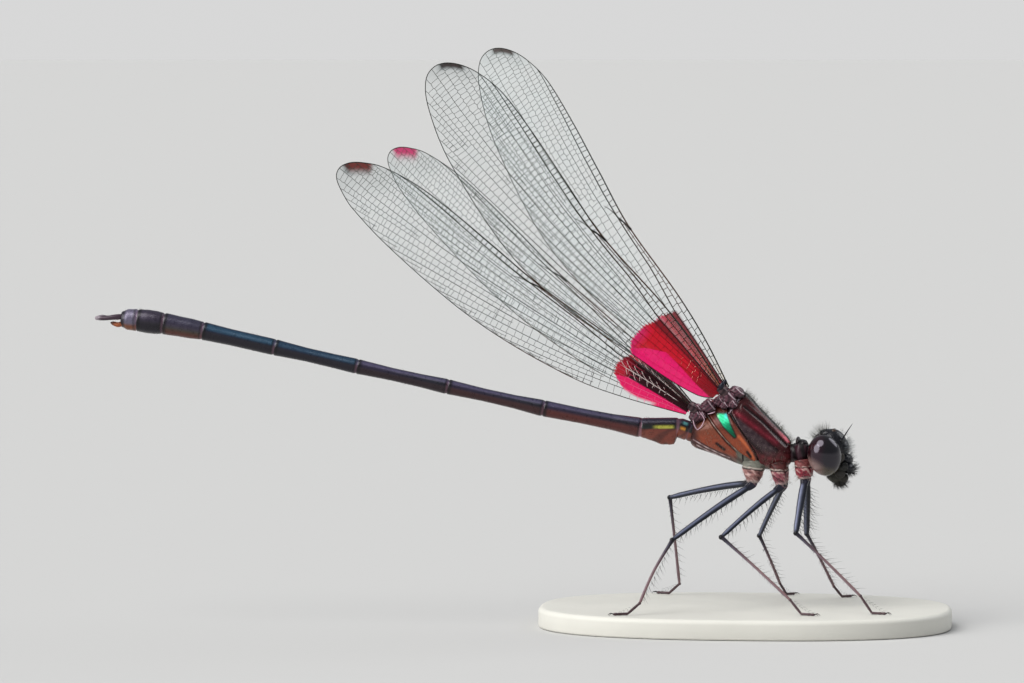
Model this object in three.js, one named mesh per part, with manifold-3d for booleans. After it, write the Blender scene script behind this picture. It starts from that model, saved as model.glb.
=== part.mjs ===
// A rubyspot damselfly at life size, standing on a small flat display base.
// Millimetres, +Z up, +X towards the head, +Y to the animal's left.
// The origin is the middle of the base's underside.
import * as THREE from "three";
import { mergeVertices } from "three/addons/utils/BufferGeometryUtils.js";
import Module from "manifold-3d";

const wasm = await Module();
wasm.setup();

// Driving dimensions
const gap = 0.25; // between two pieces that touch
const baseThick = 1.2;
const baseHalfLength = 12.5;
const baseHalfWidth = 8.6;
const foreWingLength = 26.6;
const hindWingLength = 25.8;
const membrane = 0.5; // thickness of a wing between its veins
const veinRise = 0.13; // how far a main vein stands out of each face
const veinWidth = 0.34;
const floor = baseThick; // the level that the feet stand on

// Finishes
const paint = (color, roughness, metalness = 0) =>
  new THREE.MeshStandardMaterial({ color, roughness, metalness });
const finish = {
  head: paint(0x14141a, 0.35),
  eye: paint(0x1a0d0c, 0.15),
  thorax: paint(0x4a1712, 0.4, 0.2),
  abdomen: paint(0x161a24, 0.35, 0.2),
  abdomenRoot: paint(0x5a2a1c, 0.4, 0.1),
  coxa: paint(0x6a2a26, 0.6),
  leg: paint(0x22242e, 0.5),
  wing: paint(0xb9c4ae, 0.25),
  base: paint(0xe2e2da, 0.6),
};

const v = (x, y, z) => new THREE.Vector3(x, y, z);
const lerp = THREE.MathUtils.lerp;
const smooth = THREE.MathUtils.smoothstep;
const sideOut = { right: -1, left: 1 };
const mirrored = (p, side) => v(p.x, Math.abs(p.y) * sideOut[side], p.z);

const model = new THREE.Group();
model.name = "damselfly";

function addNode(name, geometry, material) {
  const mesh = new THREE.Mesh(geometry, material);
  mesh.name = name;
  model.add(mesh);
  return mesh;
}

// Solids and meshes

function toSolid(geometry) {
  const bare = new THREE.BufferGeometry();
  bare.setAttribute("position", geometry.getAttribute("position"));
  if (geometry.index) bare.setIndex(geometry.index);
  const merged = mergeVertices(bare, 1e-4);
  return new wasm.Manifold(
    new wasm.Mesh({
      numProp: 3,
      vertProperties: new Float32Array(merged.attributes.position.array),
      triVerts: new Uint32Array(merged.index.array),
    }),
  );
}

function toGeometry(solid) {
  const mesh = solid.getMesh();
  const geometry = new THREE.BufferGeometry();
  geometry.setAttribute(
    "position",
    new THREE.BufferAttribute(new Float32Array(mesh.vertProperties), 3),
  );
  geometry.setIndex(new THREE.BufferAttribute(new Uint32Array(mesh.triVerts), 1));
  return geometry;
}

// Joins closed meshes into one body and keeps the largest closed surface.
function fuse(pieces) {
  const joined = pieces.map(toSolid).reduce((a, b) => a.add(b));
  const bodies = joined.decompose();
  bodies.sort((a, b) => b.volume() - a.volume());
  return toGeometry(bodies[0]);
}

function cut(geometry, tools) {
  const left = tools.map(toSolid).reduce((a, b) => a.subtract(b), toSolid(geometry));
  const bodies = left.decompose();
  bodies.sort((a, b) => b.volume() - a.volume());
  return toGeometry(bodies[0]);
}

// A closed skin over rings of points, with a fan over each end.
function loft(rings) {
  const count = rings[0].length;
  const points = rings.flat();
  const faces = [];
  for (let i = 0; i + 1 < rings.length; i++)
    for (let j = 0; j < count; j++) {
      const a = i * count + j;
      const b = i * count + ((j + 1) % count);
      faces.push([a, b, b + count], [a, b + count, a + count]);
    }
  const middle = (ring) =>
    ring.reduce((sum, p) => sum.add(p), v(0, 0, 0)).divideScalar(count);
  const first = points.length;
  points.push(middle(rings[0]), middle(rings[rings.length - 1]));
  const last = (rings.length - 1) * count;
  for (let j = 0; j < count; j++) {
    const next = (j + 1) % count;
    faces.push([first, next, j], [first + 1, last + j, last + next]);
  }
  return facesToGeometry(points, faces);
}

// Makes the geometry face outwards, whichever way its faces were listed.
function facesToGeometry(points, faces) {
  const volume = faces.reduce(
    (sum, [a, b, c]) => sum + points[a].dot(points[b].clone().cross(points[c])),
    0,
  );
  const order = volume < 0 ? faces.map(([a, b, c]) => [a, c, b]) : faces;
  const geometry = new THREE.BufferGeometry().setFromPoints(points);
  geometry.setIndex(order.flat());
  return geometry;
}

// Points of a superellipse about a centre: power 2 is round, more is squarer.
function ring(centre, across, up, halfWide, halfHigh, sides, power = 2) {
  const bend = (t) => Math.sign(t) * Math.abs(t) ** (2 / power);
  return Array.from({ length: sides }, (_, i) => {
    const angle = (2 * Math.PI * i) / sides;
    return centre
      .clone()
      .addScaledVector(across, halfWide * bend(Math.cos(angle)))
      .addScaledVector(up, halfHigh * bend(Math.sin(angle)));
  });
}

// A limb along points, each [point, half width, half height].
function limb(stations, sides, sideways = v(0, 1, 0)) {
  const places = stations.map(([p]) => p);
  return loft(
    stations.map(([p, wide, high = wide], i) => {
      const before = places[Math.max(i - 1, 0)];
      const after = places[Math.min(i + 1, places.length - 1)];
      const along = after.clone().sub(before).normalize();
      const up = along.clone().cross(sideways).normalize();
      const across = up.clone().cross(along).normalize();
      return ring(p, across, up, wide, high, sides);
    }),
  );
}

function ellipsoid(centre, radii, wide = 10, high = 6, turn = null) {
  const ball = new THREE.SphereGeometry(1, wide, high);
  ball.scale(radii.x, radii.y, radii.z);
  if (turn) ball.applyMatrix4(new THREE.Matrix4().makeRotationFromEuler(turn));
  ball.translate(centre.x, centre.y, centre.z);
  return ball;
}

function box(low, high) {
  const size = high.clone().sub(low);
  const middle = low.clone().add(high).multiplyScalar(0.5);
  return new THREE.BoxGeometry(size.x, size.y, size.z).translate(middle.x, middle.y, middle.z);
}

// A three-sided spine whose root is sunk into what it grows from.
function spine(root, direction, length, rootRadius, sunk) {
  const along = direction.clone().normalize();
  const aside = Math.abs(along.y) < 0.9 ? v(0, 1, 0) : v(1, 0, 0);
  const up = along.clone().cross(aside).normalize();
  const across = up.clone().cross(along).normalize();
  const start = root.clone().addScaledVector(along, -sunk);
  const foot = ring(start, across, up, rootRadius, rootRadius, 3);
  const points = [...foot, root.clone().addScaledVector(along, length)];
  return facesToGeometry(points, [
    [0, 1, 3],
    [1, 2, 3],
    [2, 0, 3],
    [0, 2, 1],
  ]);
}

// Display base: a flat plate with a bevelled upper edge

function makeBase() {
  const sides = 40;
  const bevel = 0.4;
  const east = v(1, 0, 0);
  const north = v(0, 1, 0);
  const outline = (z, inset) =>
    ring(v(0, 0, z), east, north, baseHalfLength - inset, baseHalfWidth - inset, sides, 2.5);
  const rings = [outline(0, 0), outline(baseThick - bevel, 0), outline(baseThick, bevel)];
  addNode("stand_base", loft(rings), finish.base);
}

// Thorax, neck and head

const neckStart = 3.05; // where the first ring of the neck shield begins

// The box of the chest, skewed back as in all damselflies, grown outwards by an amount.
function chestSkin(grown = 0) {
  // Each station: x, low z, high z, half width
  const stations = [
    [-3.3, 10.85, 12.35, 0.62],
    [-2.8, 10.74, 13.1, 0.98],
    [-2.1, 10.54, 13.6, 1.26],
    [-1.3, 10.22, 14.0, 1.46],
    [-0.5, 9.89, 14.32, 1.56],
    [-0.05, 9.74, 14.16, 1.6],
    [1.0, 9.55, 13.1, 1.58],
    [1.8, 9.52, 12.28, 1.4],
    [2.4, 9.62, 11.66, 1.12],
    [2.8, 9.85, 11.22, 0.8],
  ];
  const sides = 20;
  const last = stations.length - 1;
  return loft(
    stations.map(([x, low, high, half], k) => {
      const middle = (low + high) / 2;
      const tall = (high - low) / 2 + grown;
      const place = x + (k === 0 ? -grown : k === last ? grown : 0);
      // Widest below the middle, narrowing to a keel along the back
      return Array.from({ length: sides }, (_, i) => {
        const angle = (2 * Math.PI * i) / sides + Math.PI / 2;
        const rise = Math.sin(angle);
        const narrowing = 1 - 0.45 * smooth(rise, -0.1, 1);
        const wide = Math.sign(Math.cos(angle)) * Math.abs(Math.cos(angle)) ** 0.8;
        return v(place, (half + grown) * wide * narrowing, middle + tall * rise);
      });
    }),
  );
}

function makeThorax() {
  const bosses = [];
  for (const side of [-1, 1]) {
    // Sclerites that carry the forewing and the hindwing
    bosses.push(ellipsoid(v(-0.85, 0.6 * side, 14.12), v(0.66, 0.4, 0.42), 10, 6));
    bosses.push(ellipsoid(v(-1.5, 0.84 * side, 13.6), v(0.55, 0.42, 0.5), 8, 6));
    bosses.push(ellipsoid(v(-2.72, 0.58 * side, 13.02), v(0.6, 0.42, 0.42), 10, 6));
    bosses.push(ellipsoid(v(-3.0, 0.62 * side, 12.45), v(0.46, 0.42, 0.5), 8, 6));
    // Ridges along the two sutures that slant across the flank
    const ridge = (points) => limb(points, 6, v(1, 0, 0.4));
    bosses.push(
      ridge([
        [v(-1.6, 1.2 * side, 13.0), 0.1],
        [v(-0.6, 1.42 * side, 11.9), 0.16],
        [v(0.5, 1.4 * side, 10.6), 0.16],
        [v(1.0, 1.1 * side, 9.9), 0.1],
      ]),
    );
    bosses.push(
      ridge([
        [v(-0.3, 0.92 * side, 13.55), 0.1],
        [v(0.75, 1.28 * side, 12.35), 0.16],
        [v(1.75, 1.22 * side, 11.15), 0.16],
        [v(2.35, 0.9 * side, 10.4), 0.1],
      ]),
    );
  }
  addNode("thorax", fuse([chestSkin(), ...bosses]), finish.thorax);
}

// The neck shield that carries the front legs, grown outwards by an amount
function neckSkin(grown = 0) {
  const sides = 14;
  const across = v(0, 1, 0);
  const up = v(0, 0, 1);
  const at = (x, z, wide, high, power) =>
    ring(v(neckStart + x, 0, z), across, up, wide + grown, high + grown, sides, power);
  return loft([
    at(-grown, 10.58, 0.62, 0.6),
    at(0.2, 10.56, 0.88, 0.8, 2.3),
    at(0.5, 10.54, 0.82, 0.7),
    at(0.8 + grown, 10.54, 0.42, 0.36),
  ]);
}

function makeProthorax() {
  // The raised hind lobe and the two humps of the middle lobe
  const lobes = [
    ellipsoid(v(neckStart + 0.16, 0, 11.28), v(0.14, 0.62, 0.24), 8, 6),
    ellipsoid(v(neckStart + 0.46, 0.32, 11.12), v(0.2, 0.3, 0.2), 8, 6),
    ellipsoid(v(neckStart + 0.46, -0.32, 11.12), v(0.2, 0.3, 0.2), 8, 6),
  ];
  addNode("prothorax", fuse([neckSkin(), ...lobes]), finish.thorax);
}

const headCentre = v(5.22, 0, 10.6);
const eyeCentre = { x: 4.87, y: 1.5, z: 10.5 };
const eyeRadii = v(1.02, 1.0, 1.23);
const eyeTilt = -0.22; // the eye's long axis leans, its lower end forward
const eyeInner = 1.12; // distance of the eye's flat inner face from the middle

function makeHead() {
  const capsuleEnd = eyeInner - gap;
  // Across the head: share of the half width, and the capsule's half depth and half height there
  const stations = [
    [-1, 0.86, 1.16],
    [-0.7, 1.02, 1.34],
    [-0.3, 1.08, 1.42],
    [0, 1.09, 1.43],
    [0.3, 1.08, 1.42],
    [0.7, 1.02, 1.34],
    [1, 0.86, 1.16],
  ];
  const front = v(Math.cos(0.2), 0, -Math.sin(0.2));
  const up = v(Math.sin(0.2), 0, Math.cos(0.2));
  const capsule = loft(
    stations.map(([share, deep, tall]) =>
      ring(v(headCentre.x, share * capsuleEnd, headCentre.z), front, up, deep, tall, 18, 2.2),
    ),
  );
  const bumps = [
    // Frons and the shiny upper clypeus, which stands out like a nose
    ellipsoid(v(5.88, 0, 10.78), v(0.46, 0.8, 0.58), 12, 8),
    ellipsoid(v(6.06, 0, 10.2), v(0.5, 0.76, 0.36), 12, 8, new THREE.Euler(0, 0.35, 0)),
    // Back of the head, where the neck joins
    ellipsoid(v(4.35, 0, 10.6), v(0.22, 0.6, 0.5), 10, 6),
    // Three simple eyes on the crown
    ellipsoid(v(5.86, 0, 11.66), v(0.17, 0.17, 0.16), 8, 6),
    ellipsoid(v(5.5, 0.32, 11.95), v(0.17, 0.17, 0.16), 8, 6),
    ellipsoid(v(5.5, -0.32, 11.95), v(0.17, 0.17, 0.16), 8, 6),
  ];
  const crown = fuse([capsule, ...bumps]);
  addNode("head", crown, finish.head);
  const grown = crown.clone();
  growFrom(grown, headCentre, gap);

  // Upper lip, then the lower lip with the jaws beside it
  const lipCentre = v(6.22, 0, 9.6);
  const lipTurn = new THREE.Euler(0, 0.5, 0);
  const labrum = ellipsoid(lipCentre, v(0.46, 0.72, 0.38), 12, 8, lipTurn);
  addNode("labrum", cut(labrum, [grown]), finish.head);
  const lip = ellipsoid(lipCentre, v(0.46 + gap, 0.72 + gap, 0.38 + gap), 12, 8, lipTurn);
  const labium = fuse([
    ellipsoid(v(5.6, 0, 9.12), v(0.68, 0.62, 0.5), 12, 8, new THREE.Euler(0, 0.45, 0)),
    ellipsoid(v(5.78, 0, 8.8), v(0.42, 0.42, 0.34), 10, 6),
    ellipsoid(v(5.75, 0.55, 9.18), v(0.5, 0.26, 0.4), 8, 6),
    ellipsoid(v(5.75, -0.55, 9.18), v(0.5, 0.26, 0.4), 8, 6),
  ]);
  addNode("labium", cut(labium, [grown, lip]), finish.head);

  for (const side of ["left", "right"]) {
    const out = sideOut[side];
    const turn = new THREE.Euler(0, eyeTilt, 0);
    const ball = ellipsoid(v(eyeCentre.x, eyeCentre.y * out, eyeCentre.z), eyeRadii, 18, 12, turn);
    const inner = [eyeInner * out, -3 * out].sort((a, b) => a - b);
    addNode("eye_" + side, cut(ball, [box(v(2, inner[0], 7), v(8, inner[1], 14))]), finish.eye);

    const foot = v(5.85, 0.52 * out, 11.2);
    const bend = v(6.15, 0.78 * out, 11.62);
    const tip = v(6.5, 1.2 * out, 12.28);
    const feeler = limb(
      [
        [foot, 0.22],
        [foot.clone().lerp(bend, 0.75), 0.24],
        [bend, 0.2],
        [bend.clone().lerp(tip, 0.35), 0.12],
        [tip, 0.04],
      ],
      7,
    );
    addNode("antenna_" + side, cut(feeler, [grown]), finish.head);
  }
}

// Moves each vertex of a round mesh out from a centre by an amount.
function growFrom(geometry, centre, amount) {
  const position = geometry.getAttribute("position");
  for (let i = 0; i < position.count; i++) {
    const p = v(0, 0, 0).fromBufferAttribute(position, i);
    const out = p.clone().sub(centre).normalize();
    p.addScaledVector(out, amount);
    position.setXYZ(i, p.x, p.y, p.z);
  }
}

// Abdomen: ten segments along a gentle curve, then the claspers

// Each joint: x, z, radius there. The segments run between neighbouring joints.
const abdomenJoints = [
  [-3.42, 11.8, 0.6],
  [-4.05, 12.02, 0.6],
  [-6.3, 11.98, 0.6],
  [-12.26, 13.12, 0.5],
  [-18.12, 14.4, 0.46],
  [-23.67, 15.6, 0.46],
  [-28.74, 16.74, 0.5],
  [-33.17, 17.72, 0.56],
  [-35.61, 18.16, 0.66],
  [-37.23, 18.36, 0.68],
  [-38.2, 18.42, 0.48],
];
const segmentWaist = [0.6, 0.6, 0.46, 0.39, 0.39, 0.42, 0.5, 0.62, 0.72, 0.64];

function makeAbdomen() {
  const sides = 12;
  for (let i = 0; i + 1 < abdomenJoints.length; i++) {
    const [x0, z0, r0] = abdomenJoints[i];
    const [x1, z1, r1] = abdomenJoints[i + 1];
    const start = v(x0, 0, z0);
    const end = v(x1, 0, z1);
    const along = end.clone().sub(start);
    const length = along.length();
    along.normalize();
    const at = (distance) => start.clone().addScaledVector(along, distance);
    const head = gap / 2;
    const tail = length - gap / 2;
    const waist = segmentWaist[i];
    const collar = Math.min(0.45, length * 0.18);
    const stations = [
      [at(head), r0 * 0.9],
      [at(head + collar * 0.5), r0],
      [at(length * 0.3), lerp(r0, waist, 0.8)],
      [at(length * 0.62), waist],
      [at(tail - collar), lerp(waist, r1, 0.7)],
      [at(tail - 0.06), r1],
      [at(tail), r1 * 0.9],
    ];
    const pieces = [limb(stations, sides)];
    // Secondary genitalia, a low keel under the second segment
    if (i === 1) {
      pieces.push(ellipsoid(v(-5.35, 0, 11.36), v(0.72, 0.34, 0.26), 10, 6));
      pieces.push(ellipsoid(v(-4.95, 0, 11.26), v(0.3, 0.22, 0.22), 8, 6));
    }
    const material = i < 2 ? finish.abdomenRoot : finish.abdomen;
    addNode("abdomen_" + (i + 1), pieces.length > 1 ? fuse(pieces) : pieces[0], material);
  }
}

function makeClaspers() {
  const [x, z] = abdomenJoints[abdomenJoints.length - 1];
  const root = x - gap / 2;
  for (const side of ["left", "right"]) {
    const out = sideOut[side];
    const cercus = limb(
      [
        [v(root, 0.25 * out, z + 0.14), 0.18],
        [v(root - 0.4, 0.4 * out, z + 0.1), 0.2],
        [v(root - 0.95, 0.46 * out, z + 0.04), 0.19],
        [v(root - 1.35, 0.32 * out, z + 0.08), 0.2],
        [v(root - 1.55, 0.22 * out, z + 0.08), 0.1],
      ],
      8,
    );
    addNode("cercus_" + side, cercus, finish.abdomen);
    const paraproct = limb(
      [
        [v(root, 0.2 * out, z - 0.3), 0.15],
        [v(root - 0.3, 0.25 * out, z - 0.34), 0.16],
        [v(root - 0.62, 0.22 * out, z - 0.26), 0.09],
      ],
      7,
    );
    addNode("paraproct_" + side, paraproct, finish.abdomenRoot);
  }
}

// Wings

// Margin of each wing as shares of its length, from the root's front, round the tip, to its rear.
const margins = {
  fore: [
    [0, 0.008],
    [0.12, 0.024],
    [0.25, 0.03],
    [0.45, 0.026],
    [0.6, 0.043],
    [0.735, 0.06],
    [0.847, 0.068],
    [0.92, 0.056],
    [0.968, 0.033],
    [0.994, 0.003],
    [0.995, -0.03],
    [0.972, -0.058],
    [0.931, -0.082],
    [0.86, -0.11],
    [0.787, -0.128],
    [0.663, -0.148],
    [0.54, -0.156],
    [0.4, -0.144],
    [0.295, -0.121],
    [0.194, -0.094],
    [0.1, -0.07],
    [0.03, -0.045],
    [0, -0.022],
  ],
  hind: [
    [0, 0.005],
    [0.1, 0.022],
    [0.22, 0.031],
    [0.448, 0.037],
    [0.6, 0.055],
    [0.715, 0.069],
    [0.82, 0.076],
    [0.909, 0.068],
    [0.955, 0.051],
    [0.986, 0.03],
    [1, 0.004],
    [0.99, -0.022],
    [0.945, -0.05],
    [0.907, -0.063],
    [0.843, -0.08],
    [0.774, -0.093],
    [0.68, -0.107],
    [0.58, -0.117],
    [0.475, -0.119],
    [0.36, -0.112],
    [0.247, -0.097],
    [0.145, -0.07],
    [0.062, -0.042],
    [0, -0.02],
  ],
};
const frontCorner = 0.41; // share of the margin where the costa ends, before the tip
const rearCorner = 0.86; // share of the margin where the last vein ends, near the root

// Where the main veins end, as shares of the margin between those two corners.
// They are the costa, radius, the sectors behind it, media, cubitus and the hind margin.
const mainVeins = [0, 0.06, 0.13, 0.22, 0.33, 0.46, 0.61, 0.8, 1];

// A point of the wing: u runs from the root to the margin, w from the front edge to the rear.
function wingPoint(curve, u, w) {
  const at = (share) => curve.getPointAt(THREE.MathUtils.clamp(share, 0, 1));
  const mix = (a, b, t) => a.clone().lerp(b, t);
  const front = at(frontCorner * u);
  const rear = at(lerp(1, rearCorner, u));
  const root = mix(at(0), at(1), w);
  const rim = at(lerp(frontCorner, rearCorner, w));
  const corners = mix(mix(at(0), at(1), w), mix(at(frontCorner), at(rearCorner), w), u);
  return mix(front, rear, w).add(mix(root, rim, u)).sub(corners);
}

function makeWing(name, margin, length, root, tip, tilt, side) {
  const along = tip.clone().sub(root).normalize();
  const flatChord = v(-along.z, 0, along.x).normalize();
  const outward = along.clone().cross(flatChord).normalize();
  if (outward.y * sideOut[side] < 0) outward.negate();
  const chord = flatChord.multiplyScalar(Math.cos(tilt)).addScaledVector(outward, Math.sin(tilt));
  const face = along.clone().cross(chord).normalize();
  if (face.y * sideOut[side] < 0) face.negate();

  const curve = new THREE.CatmullRomCurve3(margin.map(([x, y]) => v(x, y, 0)));
  const columns = 15;
  const places = Array.from({ length: columns }, (_, i) => (i / (columns - 1)) ** 0.85);
  // Rows of [points, raised]: each main vein is a raised row with a low row on each side.
  const veinRows = mainVeins.map((w) => places.map((u) => wingPoint(curve, u, w)));
  const beside = (from, to) =>
    from.map((p, i) => {
      const apart = p.distanceTo(to[i]) * length;
      return p.clone().lerp(to[i], Math.min(0.3, veinWidth / 2 / Math.max(apart, 1e-6)));
    });
  const rows = [];
  veinRows.forEach((row, i) => {
    if (i > 0) rows.push([beside(row, veinRows[i - 1]), false]);
    rows.push([row, true]);
    if (i + 1 < veinRows.length) rows.push([beside(row, veinRows[i + 1]), false]);
  });

  const points = [];
  for (const turn of [1, -1])
    for (const [row, raised] of rows)
      for (const { x, y } of row) {
        const thin = 1 - 0.4 * smooth(x, 0.75, 1);
        const half = (membrane / 2) * thin + (raised ? veinRise * thin : 0);
        const p = root
          .clone()
          .addScaledVector(along, x * length)
          .addScaledVector(chord, -y * length)
          .addScaledVector(face, wingCamber(x, y) + turn * half);
        points.push(p);
      }
  const sheet = rows.length * columns;
  const faces = [];
  for (let i = 0; i + 1 < rows.length; i++)
    for (let j = 0; j + 1 < columns; j++) {
      const a = i * columns + j;
      const b = a + 1;
      const c = a + columns;
      const d = c + 1;
      faces.push([a, b, d], [a, d, c]);
      faces.push([a + sheet, d + sheet, b + sheet], [a + sheet, c + sheet, d + sheet]);
    }
  // The rim, all the way round
  const rim = [];
  for (let j = 0; j < columns; j++) rim.push(j);
  for (let i = 1; i < rows.length; i++) rim.push(i * columns + columns - 1);
  for (let j = columns - 2; j >= 0; j--) rim.push((rows.length - 1) * columns + j);
  for (let i = rows.length - 2; i > 0; i--) rim.push(i * columns);
  rim.forEach((a, k) => {
    const b = rim[(k + 1) % rim.length];
    faces.push([a, b + sheet, b], [a, a + sheet, b + sheet]);
  });
  addNode(name, facesToGeometry(points, faces), finish.wing);
}

// How far the wing's middle surface bulges outwards.
function wingCamber(x, y) {
  return 0.35 * Math.sin(Math.PI * Math.min(Math.max(x, 0) * 1.1, 1)) * (1 - (y / 0.15) ** 2);
}

function makeWings() {
  const tilts = { fore: 0.2, hind: 0.42 };
  const wings = [
    ["fore", "right", v(-1.45, 1.22, 14.3), v(-17.82, 8.2, 34.07)],
    ["fore", "left", v(-1.25, 1.22, 14.3), v(-16.41, 8.2, 34.98)],
    ["hind", "right", v(-3.3, 1.05, 13.3), v(-23.88, 6.9, 27.71)],
    ["hind", "left", v(-3.3, 1.05, 13.3), v(-22.3, 8.4, 28.0)],
  ];
  for (const [pair, side, root, tip] of wings) {
    const length = pair === "fore" ? foreWingLength : hindWingLength;
    const name = pair + "wing_" + side;
    makeWing(name, margins[pair], length, mirrored(root, side), mirrored(tip, side), tilts[pair], side);
  }
}

// Legs

// Points of each leg: where the coxa leaves the thorax, its end, knee, ankle and toe.
const legs = {
  front_right: [v(3.42, -0.74, 9.95), v(3.64, -0.84, 8.95), v(3.24, -3.2, 5.95), v(7.15, -4.15, 2.3), v(8.7, -4.5, floor)],
  front_left: [v(3.42, 0.74, 9.95), v(3.68, 0.84, 8.92), v(3.55, 3.4, 5.35), v(5.15, 5.2, 1.93), v(6.2, 6.0, floor)],
  middle_right: [v(1.95, -0.76, 9.75), v(2.2, -0.95, 8.55), v(-1.2, -3.6, 5.7), v(3.0, -5.0, 2.1), v(4.5, -5.6, floor)],
  middle_left: [v(1.95, 0.76, 9.75), v(2.28, 0.95, 8.52), v(0.6, 4.5, 5.1), v(1.76, 6.4, 1.98), v(2.62, 7.1, floor)],
  hind_right: [v(0.48, -0.78, 9.85), v(0.5, -1.0, 8.68), v(-4.1, -4.2, 5.55), v(-5.92, -6.0, 1.9), v(-7.45, -6.6, floor)],
  hind_left: [v(0.48, 0.78, 9.85), v(0.3, 1.0, 8.62), v(-4.9, 4.4, 7.4), v(-4.45, 6.3, 1.9), v(-5.9, 7.0, floor)],
};
const femurRadius = 0.26;
const shinRadius = 0.25;
const footRadius = 0.25;
const spineRadius = 0.15;

function spinesAlong(from, to, radius, count, length, facing) {
  const along = to.clone().sub(from).normalize();
  const across = along.clone().cross(facing).normalize();
  const spines = [];
  for (let i = 0; i < count; i++) {
    const place = from.clone().lerp(to, 0.16 + (0.72 * i) / (count - 1));
    const swing = i % 2 ? 0.5 : -0.5;
    const out = facing.clone().addScaledVector(across, swing).normalize();
    const lean = out.clone().addScaledVector(along, 0.55);
    const root = place.addScaledVector(out, radius * 0.8);
    spines.push(spine(root, lean, length * (1 - 0.25 * (i / count)), spineRadius, 0.14));
  }
  return spines;
}

function makeLeg(name, [root, hip, knee, ankle, toe]) {
  const step = (from, to, distance) =>
    from.clone().addScaledVector(to.clone().sub(from).normalize(), distance);
  const sideways = v(0.3, 1, 0.1).normalize();

  const coxa = limb(
    [
      [root, 0.56],
      [root.clone().lerp(hip, 0.3), 0.6],
      [root.clone().lerp(hip, 0.65), 0.54],
      [step(hip, root, 0.06), 0.36],
      [step(hip, root, -0.12), 0.2],
    ],
    10,
    v(0.2, 1, 0.1).normalize(),
  );
  addNode("coxa_" + name, cut(coxa, [chestSkin(gap), neckSkin(gap)]), finish.coxa);

  // The spines stand on the side that faces the other limb's inner bend
  const inner = ankle.clone().sub(knee).normalize().add(hip.clone().sub(knee).normalize());
  const facing = (from, to) => {
    const along = to.clone().sub(from).normalize();
    return inner.clone().addScaledVector(along, -inner.dot(along)).normalize();
  };

  const thighStart = step(hip, knee, 0.14 + gap);
  const thigh = limb(
    [
      [thighStart, 0.2],
      [step(hip, knee, 0.75), femurRadius],
      [hip.clone().lerp(knee, 0.6), femurRadius],
      [step(knee, hip, 0.3), femurRadius * 0.95],
      [step(knee, hip, 0.02), femurRadius * 0.9],
      [step(knee, hip, -0.14), 0.12],
    ],
    8,
    sideways,
  );
  const thighSpines = spinesAlong(thighStart, knee, femurRadius, 7, 0.75, facing(hip, knee));
  addNode("femur_" + name, fuse([thigh, ...thighSpines]), finish.leg);

  const shinStart = step(knee, ankle, femurRadius * 0.9 + gap);
  const shin = limb(
    [
      [shinStart, 0.16],
      [step(knee, ankle, 0.95), shinRadius],
      [knee.clone().lerp(ankle, 0.6), shinRadius * 0.95],
      [step(ankle, knee, gap / 2), shinRadius * 0.85],
    ],
    8,
    sideways,
  );
  const shinSpines = spinesAlong(shinStart, ankle, shinRadius, 8, 0.95, facing(knee, ankle));
  addNode("tibia_" + name, fuse([shin, ...shinSpines]), finish.leg);

  // Foot: it comes down from the ankle and lies along the base, then forks into two claws
  const level = floor + gap * 0.6 + footRadius;
  const touch = ankle.clone().lerp(toe, 0.45).setZ(level);
  const end = toe.clone().setZ(level);
  const forward = end.clone().sub(touch).normalize();
  const aside = v(-forward.y, forward.x, 0);
  const heel = step(ankle, touch, gap * 0.7);
  const foot = limb(
    [
      [heel, 0.17],
      [heel.clone().lerp(touch, 0.6), 0.22],
      [touch, footRadius],
      [touch.clone().lerp(end, 0.6), footRadius * 0.92],
      [end, 0.2],
    ],
    8,
    aside,
  );
  const claws = [-1, 1].map((k) =>
    spine(end, forward.clone().addScaledVector(aside, 0.45 * k), 0.5, 0.15, 0.2),
  );
  addNode("tarsus_" + name, fuse([foot, ...claws]), finish.leg);
}

makeBase();
makeThorax();
makeProthorax();
makeHead();
makeAbdomen();
makeClaspers();
makeWings();
for (const [name, points] of Object.entries(legs)) makeLeg(name, points);

export default model;
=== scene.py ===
import math
import bpy
import numpy as np
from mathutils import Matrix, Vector


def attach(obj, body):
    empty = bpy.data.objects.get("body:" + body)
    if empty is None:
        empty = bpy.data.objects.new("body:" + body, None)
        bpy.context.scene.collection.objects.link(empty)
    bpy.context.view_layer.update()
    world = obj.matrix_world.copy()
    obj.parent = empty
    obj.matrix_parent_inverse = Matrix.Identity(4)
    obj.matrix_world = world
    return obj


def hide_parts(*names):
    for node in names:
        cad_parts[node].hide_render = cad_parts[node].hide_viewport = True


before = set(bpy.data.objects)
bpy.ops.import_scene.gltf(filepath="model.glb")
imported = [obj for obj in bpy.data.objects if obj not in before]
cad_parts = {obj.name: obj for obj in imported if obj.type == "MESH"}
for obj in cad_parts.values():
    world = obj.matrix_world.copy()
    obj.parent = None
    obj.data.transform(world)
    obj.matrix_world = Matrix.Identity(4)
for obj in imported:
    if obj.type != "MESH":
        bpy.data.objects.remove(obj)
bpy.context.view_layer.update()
MM = 0.001
rng = np.random.default_rng(7)

# Every size below is in millimetres
BASE_TOP = 1.2  # of the display base

# Camera at the photo's angle
yaw, pitch, distance = math.radians(-6), math.radians(3), 330
CAMERA_PLACE = (20.316, -328.384, 33.279 + BASE_TOP)
FILM_WIDE, VIEW_WIDE = 36, 62.06  # the second is what the picture shows from side to side
look = Vector((math.sin(yaw) * math.cos(pitch), math.cos(yaw) * math.cos(pitch), -math.sin(pitch)))
camera_data = bpy.data.cameras.new("camera")
camera_data.lens = FILM_WIDE * distance / VIEW_WIDE
camera_data.clip_start = 0.01
camera_data.clip_end = 50
camera = bpy.data.objects.new("camera", camera_data)
camera.location = Vector(CAMERA_PLACE) * MM
camera.rotation_euler = look.to_track_quat("-Z", "Y").to_euler()
bpy.context.collection.objects.link(camera)
bpy.context.scene.camera = camera


# Numbers

def vec(*p):
    return np.array(p, float)


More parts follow.
